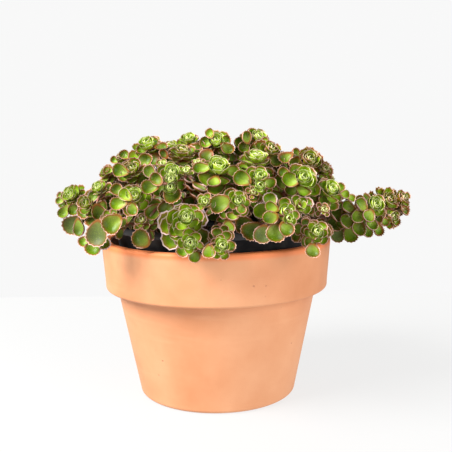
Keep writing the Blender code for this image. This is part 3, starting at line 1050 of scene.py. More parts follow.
class Tone(Enum):
    """A crown's colouring."""

    LIME = (0.00, 0.62, 0.22, 0.05, 0.0)
    GREEN = (0.06, 0.74, 0.35, 0.08, 0.0)
    BRONZE = (0.14, 0.85, 0.95, 0.10, 0.0)
    LILAC = (0.04, 0.62, 0.30, 0.95, 0.0)
    # DEEP is the dark olive of old leaves, and also painted shade on leaves set back in the dark gaps between
    # crowns.
    DEEP = (0.18, 0.92, 0.45, 0.10, 0.1)
    PALE = (0.00, 0.42, 0.15, 0.60, 0.35)
    ASH = (0.50, 0.90, 0.25, 0.35, 0.8)
    ROSE = (0.00, 0.66, 0.40, 0.50, 0.0)
    RUDDY = (0.16, 0.62, 1.55, 0.05, 0.0)

    def __init__(self, heart_age: float, outer_age: float, blush: float, frost: float, bloom: float) -> None:
        """Name the five numbers of a tone.

        Args:
            heart_age: Age mark of the innermost leaf.
            outer_age: Age mark of the outermost leaf.
            blush: Redness of the leaves.
            frost: How pale and broad their rims are.
            bloom: How much grey bloom dulls them.
        """
        self.heart_age = heart_age
        self.outer_age = outer_age
        self.blush = blush
        self.frost = frost
        self.bloom = bloom


LIME, GREEN, BRONZE, LILAC, DEEP, PALE, ASH, ROSE, RUDDY = Tone


@dataclass(frozen=True)
class Leaf:
    """One leaf: where it is rooted, which way it points and faces, its sizes and its colouring."""

    root: Vector
    along: Vector
    upper: Vector
    length: float
    width: float
    bend: float
    wrap: float
    cup: float
    age: float
    tone: Tone
    tint: float
    phase: float
    teeth: float
    thickness: float = 1.5

    def leaned(self, lean: float, shrink: float) -> Leaf:
        """The same leaf leaned outwards and made smaller.

        Args:
            lean: Angle in radians.
            shrink: Factor on its length and width.

        Returns:
            The new leaf.
        """
        along = self.along * math.cos(lean) - self.upper * math.sin(lean)
        upper = self.upper * math.cos(lean) + self.along * math.sin(lean)
        return replace(self, along=along, upper=upper, length=self.length * shrink, width=self.width * shrink)


@dataclass(frozen=True)
class LeafGrid:
    """Spokes and rings on which both faces of a leaf are worked out.

    A spoke at angle a meets the outline at s = (1 + cos a) / 2 of the leaf's length, with s = 1 at the
    tip, and at half the width times W(s) to the side. W(s) is b + (1 - b) sin(pi s / 2 m)^t up to the
    widest place m, and (1 - ((s - m) / (1 - m))^p)^(1 / p) from there to the tip. A ring r shrinks the
    outline towards the blade's middle. Every second spoke is pushed out and the others in, as scallops
    that come in along the first of the length, and the whole outline swells by sin(2 a + 2 phase), so
    that no two leaves are quite alike.
    """

    spokes: int = 20
    upper: tuple[float, ...] = (0.5, 0.87)
    lower: tuple[float, ...] = (0.80,)
    start: float = 0.0
    middle: float = 0.57
    widest: float = 0.62
    neck: float = 0.26
    taper: float = 1.5
    blunt: float = 2.3
    scalloped: Pair = (0.2, 0.5)
    uneven: float = 0.035
    wave: float = 0.028

    @property
    def rings(self) -> list[tuple[float, float]]:
        """Reach and side of each ring, from the upper middle over the rim to the lower middle."""
        return [*((r, 0.0) for r in self.upper), (1.0, 0.5), *((r, 1.0) for r in self.lower)]

    def lattice(self) -> tuple[np.ndarray, ...]:
        """Where every point of a leaf lies on its spokes and rings.

        Returns:
            Share of length, share of half width, reach, side, angle and scallop of each point.
        """
        angle = np.arange(self.spokes) * math.tau / self.spokes
        s = np.maximum(0.5 + 0.5 * np.cos(angle), self.start)
        rise = np.sin(0.5 * math.pi * np.minimum(s / self.widest, 1.0)) ** self.taper
        low = self.neck + (1.0 - self.neck) * rise
        past = np.clip((s - self.widest) / (1.0 - self.widest), 0.0, 1.0)
        high = (1.0 - past ** self.blunt) ** (1.0 / self.blunt)
        width = np.where(s < self.widest, low, high) * np.sign(np.round(np.sin(angle), 6))
        scallop = np.where(np.arange(self.spokes) % 2 == 0, 1.0, -1.0) * smooth_step(s, *self.scalloped)
        middle = max(self.middle, self.start)
        full = np.ones(self.spokes)
        rows = [np.array([[middle], [0.0], [0.0], [0.0], [0.0], [0.0]])]
        for reach, side in self.rings:
            rows.append(np.stack([middle + reach * (s - middle), reach * width, reach * full, side * full,
                                  angle, scallop * reach ** 4]))
        rows.append(np.array([[middle], [0.0], [0.0], [1.0], [0.0], [0.0]]))
        return tuple(np.concatenate(rows, axis=1))

    def faces(self) -> list[np.ndarray]:
        """Faces of one leaf: a fan on each middle and strips between the rings.

        Returns:
            Point numbers of the triangles, and of the four-sided faces.
        """
        rings = len(self.rings)
        last = 1 + rings * self.spokes
        top = fan(0, 1, self.spokes)
        bottom = fan(last, last - self.spokes, self.spokes)[:, ::-1]
        return [np.vstack([top, bottom]), grid_faces(rings, self.spokes, 1)]

    def points(self, leaves: list[Leaf]) -> np.ndarray:
        """Places of every point of every leaf.

        The blade lies in x and y with its upper face along z. With r the ring's reach and s the share
        of length, it rises towards its rim by cup * length * r^2.2 * (0.35 + 0.65 s), waves by
        wave * length * sin(3 a + phase) * r^3, and is thickness * (0.25 + 0.75 (1 - r^2)) thick, with
        half of (1 - s)^3 more at its root. It is then wound round a cylinder of radius wrap above it,
        and bent along its length by the angle bend.

        Args:
            leaves: The leaves to work out.

        Returns:
            An array of leaves by points by three.
        """
        share, side_share, reach, side, angle, scallop = (row[None, :] for row in self.lattice())
        length, width, bend, wrap, cup, phase, teeth, thickness = (
            np.array([getattr(leaf, key) for leaf in leaves])[:, None]
            for key in ("length", "width", "bend", "wrap", "cup", "phase", "teeth", "thickness"))
        swell = 1.0 + teeth * scallop + self.uneven * np.sin(2.0 * angle + phase * 2.0)
        x = length * (self.middle + (share - self.middle) * swell)
        y = width * 0.5 * side_share * swell
        rise = cup * length * reach ** 2.2 * (0.35 + 0.65 * share)
        rise = rise + self.wave * length * np.sin(3.0 * angle + phase) * reach ** 3
        depth = thickness * (0.25 + 0.75 * (1.0 - reach ** 2) + 0.5 * (1.0 - share) ** 3)
        z = rise - side * depth
        turn = y / wrap
        y = (wrap - z) * np.sin(turn)
        z = wrap - (wrap - z) * np.cos(turn)
        bend = np.where(np.abs(bend) < 0.001, 0.001, bend)
        radius = length / bend
        x, z = (radius - z) * np.sin(x / radius), radius - (radius - z) * np.cos(x / radius)
        root, along, upper = (np.array([tuple(getattr(leaf, key)) for leaf in leaves])[:, None, :]
                              for key in ("root", "along", "upper"))
        across = np.cross(upper, along)
        return root + along * x[..., None] + across * y[..., None] + upper * z[..., None]

    def surface(self, leaves: list[Leaf]) -> Surface:
        """All the leaves in one surface, with their marks.

        A leaf's redness grows with its age from 0.45 to 1 of its tone's, and its pale rim comes in
        between the ages of 0.2 and 0.6.

        Args:
            leaves: The leaves to work out.

        Returns:
            The surface.
        """
        points = self.points(leaves)
        count, size = points.shape[:2]
        share, _, reach, side, _, _ = self.lattice()
        each = np.ones((count, size))
        length, age, tint = (np.array([getattr(leaf, key) for leaf in leaves])[:, None]
                             for key in ("length", "age", "tint"))
        blush, frost, bloom = (np.array([getattr(leaf.tone, key) for leaf in leaves])[:, None]
                               for key in ("blush", "frost", "bloom"))
        marks = {
            "reach": each * reach,
            "margin": (1.0 - reach) * 0.5 * length,
            "along": each * share,
            "under": each * side,
            "age": each * age,
            "blush": each * blush * (0.45 + 0.55 * age),
            "frost": each * frost * smooth_step(age, 0.2, 0.6),
            "bloom": each * bloom,
            "tint": each * tint,
        }
        shift = np.arange(count)[:, None, None] * size
        faces = [(block[None, :, :] + shift).reshape(-1, block.shape[1]) for block in self.faces()]
        return Surface(points.reshape(-1, 3), faces, {key: value.ravel() for key, value in marks.items()})


HEART_GRID = LeafGrid(spokes=14, upper=(0.7,), lower=())
FRONT_GRID = LeafGrid(spokes=22, upper=(0.68,), lower=(), taper=1.1)
BACK_GRID = LeafGrid(spokes=14, upper=(0.6,), lower=())
PICKED_GRID = LeafGrid(spokes=36, neck=0.10, taper=0.75, uneven=0.05)
CAGE_GRID = LeafGrid(spokes=8, upper=(), lower=())
TIP_GRID = LeafGrid(spokes=8, upper=(), lower=(), start=0.5)
CAGE_FACES = [face for block in CAGE_GRID.faces() for face in block.tolist()]


@dataclass(frozen=True)
class Crown:
    """One rosette: its middle, the way it faces, its radius, its colouring and its numbers of leaves."""

    place: Point
    facing: Point
    radius: float
    tone: Tone = GREEN
    heart: int = 13
    outer: int = 12
    low: int = 13
    run: float = 32.0
    turn: float = 0.0
    pitch: float = 54.0
    open: float = 88.0
    reflex: float = 106.0
    trail: Point | None = None

    @property
    def axis(self) -> Vector:
        """The way the crown faces, as a vector of length one."""
        return unit(self.facing)


@dataclass(frozen=True)
class PhotoCamera:
    """The camera of the photograph, fitted to the pot's outline.

    Its place is in millimetres, and its dip under the level and its roll are in radians. The picture
    is square, with its pixels counted from the upper left corner.
    """

    place: Point = (7.5, -510.0, 187.6)
    dip: float = 0.125
    roll: float = -0.011
    picture: float = 452.0
    focal_pixels: float = 684.0
    sensor: float = 36.0

    def seen(self, column: float, row: float, y: float) -> tuple[Point, float]:
        """What a pixel shows on the upright plane at a depth y.

        The pixel's ray slopes by u to the right and v upwards. On the plane it is
        (y - y0) (v cos dip - sin dip) / (cos dip + v sin dip) over the camera.

        Args:
            column: The pixel's place from the picture's left edge.
            row: Its place from the upper edge.
            y: Depth of the plane in millimetres.

        Returns:
            The place, and the size of a pixel there, in millimetres.
        """
        right = column - self.picture * 0.5
        down = row - self.picture * 0.5
        u = (right * math.cos(self.roll) + down * math.sin(self.roll)) / self.focal_pixels
        v = (right * math.sin(self.roll) - down * math.cos(self.roll)) / self.focal_pixels
        cosine, sine = math.cos(self.dip), math.sin(self.dip)
        ahead = y - self.place[1]
        above = ahead * (v * cosine - sine) / (cosine + v * sine)
        distance = ahead * cosine - above * sine
        return (self.place[0] + u * distance, y, self.place[2] + above), distance / self.focal_pixels

    def stand(self) -> None:
        """Stand Blender's camera where the photograph was taken."""
        lens = bpy.data.cameras.new("photo_camera")
        lens.sensor_fit = "HORIZONTAL"
        lens.sensor_width = self.sensor
        lens.lens = self.focal_pixels * self.sensor / self.picture
        thing = bpy.data.objects.new("photo_camera", lens)
        bpy.context.scene.collection.objects.link(thing)
        dip = Matrix.Rotation(math.pi / 2 - self.dip, 4, "X")
        roll = Matrix.Rotation(self.roll, 4, "Z")
        thing.matrix_world = Matrix.Translation(Vector(self.place) * MM) @ dip @ roll
        bpy.context.scene.camera = thing


CAMERA = PhotoCamera()


@dataclass(frozen=True)
class Blade:
    """A leaf that the photograph shows singly, listed with its place there.

    column and row are the pixel at the middle of its blade, y is that middle's depth in millimetres,
    and spread is the blade's radius in pixels. It faces and points along facing and tip. The pairs
    hold a measure of a flat blade and of a fully cupped one.
    """

    stem: int
    column: float
    row: float
    y: float
    spread: float
    facing: Point
    tip: Point
    age: float
    cup: float
    tone: Tone
    fullness: float = 1.12
    length: float = 2.15
    width: float = 2.1
    middle: float = 0.57
    bend: Pair = (0.25, 1.0)
    wrap: Pair = (2.6, 1.05)
    hollow: Pair = (0.07, 0.22)
    teeth: float = 0.045

    def leaf(self, draw: Draw) -> Leaf:
        """The leaf whose round blade lies where the photograph shows it, to the nearest millimetre.

        Args:
            draw: Source of its small differences.

        Returns:
            The leaf.
        """
        (x, y, z), pixel = CAMERA.seen(self.column, self.row, self.y)
        radius = round(self.spread * pixel, 1) * self.fullness
        upper = unit(self.facing)
        along = Vector(self.tip)
        along = (along - upper * along.dot(upper)).normalized()
        length = radius * self.length
        bend = between(self.bend, self.cup)
        tilt = Matrix.Rotation(bend * 0.5, 3, upper.cross(along))
        return Leaf(root=Vector((round(x), y, round(z))) - along * length * self.middle, along=tilt @ along,
                    upper=tilt @ upper, length=length, width=radius * self.width, bend=bend,
                    wrap=radius * between(self.wrap, self.cup), cup=between(self.hollow, self.cup),
                    age=self.age, tone=self.tone, tint=draw.uniform(-0.5, 0.5),
                    phase=draw.uniform(0.0, math.tau), teeth=self.teeth * (1.0 + self.tone.blush))


@dataclass(frozen=True)
class Stalk:
    """The smooth middle line of a stem, measured from the foot of its crown backwards."""

    line: np.ndarray

    @classmethod
    def through(cls, knots: list[Vector], steps: int = 8) -> Stalk:
        """A stalk through knots that run from the soil to the crown's foot."""
        return cls(smooth_path(knots, steps)[::-1])

    def at(self, distance: float) -> tuple[Vector, Vector]:
        """Place on the stalk and its upward direction, at a distance below the crown's foot.

        Args:
            distance: Length along the stalk from the foot.

        Returns:
            The place, and the direction towards the crown.
        """
        steps = np.linalg.norm(np.diff(self.line, axis=0), axis=1)
        reach = np.concatenate([[0.0], np.cumsum(steps)])
        distance = min(distance, float(reach[-1]) - 1.0)
        place = Vector([float(np.interp(distance, reach, self.line[:, k])) for k in range(3)])
        above = Vector([float(np.interp(max(distance - 2.0, 0.0), reach, self.line[:, k])) for k in range(3)])
        below = Vector([float(np.interp(distance + 2.0, reach, self.line[:, k])) for k in range(3)])
        return place, unit(above - below)


@dataclass(frozen=True)
class Whorl:
    """One group of a crown's leaves. Each pair runs from the group's first leaf to its last.

    Bends are in degrees, lengths, wraps and heights are shares of the crown's radius, width is a share
    of a leaf's length, and loose tells how strongly the small differences apply.
    """

    length: Pair
    bend: Pair
    wrap: Pair
    width: float
    height: Pair = (0.0, 0.0)
    loose: Pair = (1.0, 1.0)


@dataclass(frozen=True)
class RosetteRule:
    """How a crown's leaves follow each other by the golden angle.

    The closed heart comes first, then the cups that lie open round it, then the old leaves down the
    stalk. A pair runs from a group's first leaf to its last, or from the tightest leaf to the loosest.
    Angles are in degrees, thickness and root_out are in millimetres, and the rest are shares.
    """

    heart: Whorl = Whorl((0.34, 0.76), (75.0, 52.0), (0.20, 0.50), 1.30, (0.62, 0.36), (0.0, 0.2))
    outer: Whorl = Whorl((0.80, 1.10), (56.0, 36.0), (0.52, 0.85), 1.0, (0.36, 0.0), (0.4, 1.0))
    low: Whorl = Whorl((1.10, 1.0), (36.0, 24.0), (1.0, 1.0), 0.96)
    heart_pitch: Pair = (3.0, 50.0)
    heart_ageing: float = 0.22
    outer_ageing: float = 0.30
    low_ageing: float = 0.25
    foot_share: float = 0.55
    shoot_foot_share: float = 0.5
    low_start: float = 2.0
    lean_in: float = 0.6
    root_out: Pair = (0.5, 1.4)
    thickness: Pair = (0.9, 1.6)
    cup: Pair = (0.052, 0.13)
    tint: Pair = (0.3, 1.0)
    teeth: float = 0.04
    pitch_jitter: float = 9.0
    length_jitter: float = 0.10
    roll_jitter: float = 13.0

    def leaf(self, crown: Crown, group: Whorl, s: float, spot: tuple[Vector, Vector, Vector], pitch: float,
             age: float, draw: Draw) -> Leaf:
        """One leaf of a crown, with its own small differences.

        Args:
            crown: The crown that it belongs to.
            group: Its group of leaves.
            s: Its share of the way through the group.
            spot: Where its root meets the stalk, the stalk's direction there, and the way out from it.
            pitch: Lean of its chord from the stalk, in degrees.
            age: Its age mark.
            draw: Source of the small differences.

        Returns:
            The leaf.
        """
        place, axis, outward = spot
        loose = between(group.loose, s)
        bend = between(group.bend, s)
        turn = math.radians(pitch + draw.uniform(-self.pitch_jitter, self.pitch_jitter) * loose + bend * 0.5)
        along = axis * math.cos(turn) + outward * math.sin(turn)
        upper = axis * math.sin(turn) - outward * math.cos(turn)
        roll = math.radians(draw.uniform(-self.roll_jitter, self.roll_jitter)) * loose
        upper = Matrix.Rotation(roll, 3, along) @ upper
        size = crown.radius * between(group.length, s)
        size = size * (1.0 + draw.uniform(-self.length_jitter, self.length_jitter))
        return Leaf(root=place + outward * between(self.root_out, loose), along=along, upper=upper,
                    length=size, width=size * group.width, bend=math.radians(bend),
                    wrap=crown.radius * between(group.wrap, s), cup=between(self.cup, loose), age=age,
                    tone=crown.tone, tint=draw.uniform(-1.0, 1.0) * between(self.tint, loose),
                    phase=draw.uniform(0.0, math.tau), teeth=self.teeth * (1.0 + crown.tone.blush),
                    thickness=between(self.thickness, loose))

    def around_foot(self, crown: Crown, foot: Vector, draw: Draw) -> tuple[list[Leaf], list[Leaf]]:
        """The closed heart and the open cups round it, both above the crown's foot.

        Args:
            crown: The crown.
            foot: End of its stalk.
            draw: Source of the small differences.

        Returns:
            The heart's leaves, innermost first, and the cups.
        """
        start = crown.tone.heart_age
        groups = ((self.heart, crown.heart, self.heart_pitch, (start, start + self.heart_ageing)),
                  (self.outer, crown.outer, (crown.pitch, crown.open),
                   (start + self.outer_ageing, crown.tone.outer_age)))
        side = crown.axis.orthogonal().normalized()
        number = 0
        grown: tuple[list[Leaf], list[Leaf]] = ([], [])
        for leaves, (group, count, pitch, age) in zip(grown, groups):
            for i in range(count):
                s = (i + 0.5) / count
                turn = Matrix.Rotation(math.radians(crown.turn) + number * GOLDEN_ANGLE, 3, crown.axis)
                place = foot + crown.axis * crown.radius * between(group.height, s)
                leaves.append(self.leaf(crown, group, s, (place, crown.axis, turn @ side),
                                        between(pitch, s), between(age, s), draw))
                number += 1
        return grown

    def down_stalk(self, crown: Crown, stalk: Stalk, draw: Draw) -> list[Leaf]:
        """The older leaves down the stalk.

        Args:
            crown: The crown.
            stalk: Its stalk.
            draw: Source of the small differences.

        Returns:
            The leaves, from the top down.
        """
        leaves = []
        oldest = min(crown.tone.outer_age + self.low_ageing, 1.0)
        across = crown.axis.orthogonal()
        for i in range(crown.low):
            s = (i + 0.5) / crown.low
            place, up = stalk.at(self.low_start + (crown.run - self.low_start) * s)
            axis = unit(up.lerp(crown.axis, self.lean_in * (1.0 - s)))
            side = (across - axis * across.dot(axis)).normalized()
            number = i + crown.heart + crown.outer
            turn = Matrix.Rotation(math.radians(crown.turn) + number * GOLDEN_ANGLE, 3, axis)
            leaves.append(self.leaf(crown, self.low, s, (place, axis, turn @ side),
                                    between((crown.open, crown.reflex), s),
                                    between((crown.tone.outer_age, oldest), s), draw))
        return leaves


@dataclass
class Thicket:
    """Coarse cages of the leaves and stalks placed so far, to keep new leaves clear of them."""

    trees: list[BVHTree] = field(default_factory=list)
    owners: list[str] = field(default_factory=list)
    centres: list[np.ndarray] = field(default_factory=list)
    reaches: list[float] = field(default_factory=list)

    def add(self, owner: str, points: np.ndarray, faces: list[list[int]]) -> None:
        """Keep a cage and the ball round it.

        Args:
            owner: Name of what the cage belongs to.
            points: Corners of the cage.
            faces: Its faces.
        """
        centre = points.mean(axis=0)
        self.trees.append(BVHTree.FromPolygons([tuple(point) for point in points], faces))
        self.owners.append(owner)
        self.centres.append(centre)
        self.reaches.append(float(np.linalg.norm(points - centre, axis=1).max()))

    def meets(self, points: np.ndarray, faces: list[list[int]], owner: str) -> bool:
        """Whether a cage cuts any cage that another owner keeps.

        Args:
            points: Corners of the cage.
            faces: Its faces.
            owner: Name whose own cages don't count.

        Returns:
            True if any two cut each other.
        """
        if not self.centres:
            return False
        centre = points.mean(axis=0)
        reach = float(np.linalg.norm(points - centre, axis=1).max())
        apart = np.linalg.norm(np.array(self.centres) - centre, axis=1)
        near = [int(i) for i in np.nonzero(apart < np.array(self.reaches) + reach)[0]]
        near = [i for i in near if self.owners[i] != owner]
        if not near:
            return False
        tree = BVHTree.FromPolygons([tuple(point) for point in points], faces)
        return any(tree.overlap(self.trees[i]) for i in near)


@dataclass
class LeafyStem:
    """One stem with its crowns, while it is put together."""

    name: str
    grid: LeafGrid
    paths: list[list[Vector]] = field(default_factory=list)
    crowns: list[Crown] = field(default_factory=list)
    hearts: list[Leaf] = field(default_factory=list)
    plan: list[Leaf] = field(default_factory=list)
    picked: list[Leaf] = field(default_factory=list)
    placed: list[Leaf] = field(default_factory=list)
    petioles: list[np.ndarray] = field(default_factory=list)
    base_radius: float = 2.0
    tip_radius: float = 1.4
    ripple: float = 0.07
    ripple_turn: float = 2.1
    petiole_radius: Pair = (1.0, 0.8)
    petiole_bow: float = -0.15
    petiole_sides: int = 6
    fine_sides: int = 10
    coarse_sides: int = 5

    def grow(self, crown: Crown, path: list[Vector], rule: RosetteRule, draw: Draw) -> None:
        """Add a crown at the end of a path, with its leaves.

        Args:
            crown: The crown.
            path: Knots of its stalk, from the soil or the fork upwards.
            rule: How its leaves follow each other.
            draw: Source of the small differences.
        """
        self.paths.append(path)
        self.crowns.append(crown)
        heart, outer = rule.around_foot(crown, path[-1], draw)
        self.hearts += heart
        self.plan += outer + rule.down_stalk(crown, Stalk.through(path), draw)

    def attach(self, leaf: Leaf) -> None:
        """Keep a listed leaf and join it to the nearest stalk with a short petiole.

        Args:
            leaf: The leaf, in its place.
        """
        self.picked.append(leaf)
        lines = np.vstack([smooth_path(path, 8) for path in self.paths])
        nearest = Vector(lines[int(np.argmin(np.linalg.norm(lines - np.array(leaf.root), axis=1)))])
        bow = leaf.along * (leaf.root - nearest).length * self.petiole_bow
        knots = [nearest, nearest.lerp(leaf.root, 0.5) + bow, leaf.root + leaf.along]
        self.petioles.append(smooth_path(knots, 4))

    def tubes(self, sides: int, steps: int) -> list[Surface]:
        """The stalks as tubes that narrow towards their crowns.

        Args:
            sides: Points round a tube.
            steps: Steps between two knots.

        Returns:
            One surface for each stalk.
        """
        surfaces = []
        for path, crown in zip(self.paths, self.crowns):
            tip = path[-1] + crown.axis * crown.radius * 0.5
            line = smooth_path([*path, tip], steps)
            share = np.linspace(0.0, 1.0, len(line))
            radii = self.base_radius + (self.tip_radius - self.base_radius) * share
            radii = radii * (1.0 + self.ripple * np.sin(np.arange(len(line)) * self.ripple_turn))
            surfaces.append(tube(line, radii, sides, 1))
        return surfaces

    def build(self, finishes: list[Material]) -> None:
        """Make the stem's piece: its stalks and its leaves in one mesh.

        Args:
            finishes: Leaf and stem material.
        """
        surfaces = []
        for grid, leaves in ((HEART_GRID, self.hearts), (PICKED_GRID, self.picked), (self.grid, self.placed)):
            if leaves:
                surfaces.append(grid.surface(leaves))
        surfaces += self.tubes(self.fine_sides, 6)
        for line in self.petioles:
            surfaces.append(tube(line, np.linspace(*self.petiole_radius, len(line)), self.petiole_sides, 1))
        register(add_piece(self.name.replace("stem", "sedum"), surfaces, finishes), self.name)


# The stems seen from the front, in the order of the CAD nodes. Each has one or more crowns.
FRONT_STEMS: tuple[tuple[Crown, ...], ...] = (
    (Crown((-104, -15, 149), (-4, -8, 5), 10.5, LIME, 15, 13, 12),),
    (Crown((-85, -51, 146), (-4, -7, 3), 12, DEEP, 7, 9, run=20),
     Crown((-78, -49, 156), (-3, -6, 6), 8, LIME, 11, 9, 4, 10)),
    (Crown((-70, -64, 137), (-4, -7, 4), 8, DEEP, 7, 7, 5, 14),),
    (Crown((-46, -74, 137), (-3, -7, 5), 7, DEEP, 7, 7, 4, 12),),
    (Crown((-75, -32, 166), (-5, -6, 6), 8.5, BRONZE),),
    (Crown((-68, -5, 175), (-5, -5, 8), 10, BRONZE),),
    (Crown((-55, -47, 168), (-1, -7, 6), 12, BRONZE, 11, 12),),
    (Crown((-51, -72, 152), (0, -8, 5), 11, LIME),),
    (Crown((-48, -17, 184), (-1, -5, 7), 13.5, LIME),),
    (Crown((-21, -44, 179), (1, -4, 8), 12, BRONZE, outer=13, low=14),
     Crown((-18, -28, 187.5), (0, -5, 7), 9, LIME, 9, 9, 4, 8)),
    (Crown((-32, 4, 181), (-1, -3, 9), 14, BRONZE),),
    (Crown((-28, -73, 158), (1, -9, 2), 10, LIME, 18, 6, 8),
     Crown((-27, -69, 167), (1, -8, 4), 10, LIME, 18, 7, 4, 8),
     Crown((-27.5, -73, 163), (1, -9, 3), 7.5, LIME, 16, 0, 0),
     Crown((-34, -57, 172), (0, -6, 6), 5, LIME, 8, 5, 2, 4),
     Crown((-18, -68, 168), (1, -6, 6), 5, LIME, 8, 6, 2, 4)),
    (Crown((-19, -90, 136), (0, -9, 2), 15, LILAC, 0, 34, 8, 8, pitch=68, open=84),
     Crown((-18.5, -92.5, 134), (0, -9, 2), 12, ROSE, 0, 20, 0, pitch=52, open=74),
     Crown((-16, -97, 140.5), (-1, -8, 4), 10.5, LIME, 18, 9, 0),
     Crown((-14.5, -99, 126), (1, -9, 1), 8.5, LIME, 15, 7, 0)),
    (Crown((5, -99, 124), (1, -9, 3), 7.5, LIME, run=12),),
    (Crown((15, -90, 150), (2, -8, 3), 8, LIME, 11, 8),
     Crown((-5, -87, 149.5), (-1, -8, 4), 6, LIME, 9, 7, 3, 8)),
    (Crown((1.5, -38, 186), (0, -7, 5), 13, LIME, outer=14, low=12),
     Crown((-11, -61, 173), (0, -6, 7), 4, LIME, 8, 4, 2, 4)),
    (Crown((30, -32, 188.5), (3, -6, 6), 10.5, LIME, 13, 13, turn=40),),
    (Crown((38, -46, 180), (3, -6, 6), 12, RUDDY, 13, 14),),
    (Crown((3, -68, 169), (1, -6, 7), 14, LIME, 12, 12, turn=70),),
    (Crown((28, -60, 175), (1, -4, 9), 12, LIME, outer=13),),
    (Crown((29, -77, 164), (1, -8, 5), 10, LIME, 10, 9),
     Crown((29, -80, 159), (1, -9, 2), 8, LIME, 9, 7, 4, 6),
     Crown((25, -82, 155), (-1, -8, 3), 4, GREEN, 6, 5, 2, 4)),
    (Crown((63, -50, 172.5), (2, -7, 5), 15.5, RUDDY, 20, 20, 14),
     Crown((73, -48, 167), (4, -7, 3), 9, RUDDY, 12, 12, 6, 10)),
    (Crown((57, -69, 162), (2, -8, 5), 13, LIME, 12, 9),),
    (Crown((76, -64, 154), (3, -7, 5), 11, LIME, outer=12),
     Crown((70, -78, 143), (0, -8, 4), 4, GREEN, 8, 5, 3, 4)),
    (Crown((44, -86, 143), (3, -8, 2), 10, LIME, 8, 8, 6, trail=(-7, 5, -3)),
     Crown((46, -90, 139), (2, -9, 1), 7, LIME, 6, 5, 2, 4),
     Crown((54, -82, 146), (1, -8, 3), 8, ROSE, 2, 8, 3, 6, pitch=26)),
    (Crown((64, -88, 130), (1, -8, 4), 9, GREEN, run=14),),
    (Crown((90, -46, 136), (4, -7, 2), 9, DEEP, 2, 7, 14, 34, reflex=120),),
    (Crown((109, -44, 142), (3, -8, 4), 11, LIME, 16, 9, 14, 48, reflex=130),),
    (Crown((124, -20, 143.5), (4, -7, 4), 11.5, RUDDY, 11, 12, 5, 14),
     Crown((135, -14, 143.5), (6, -6, 5), 10, RUDDY, 11, 11, 5, 8),
     Crown((126, -22, 132), (5, -8, 0), 9.5, RUDDY, 10, 11, 6, 12),
     Crown((134, -15, 137), (7, -7, 1), 8, RUDDY, 9, 9, 4, 8)),
)
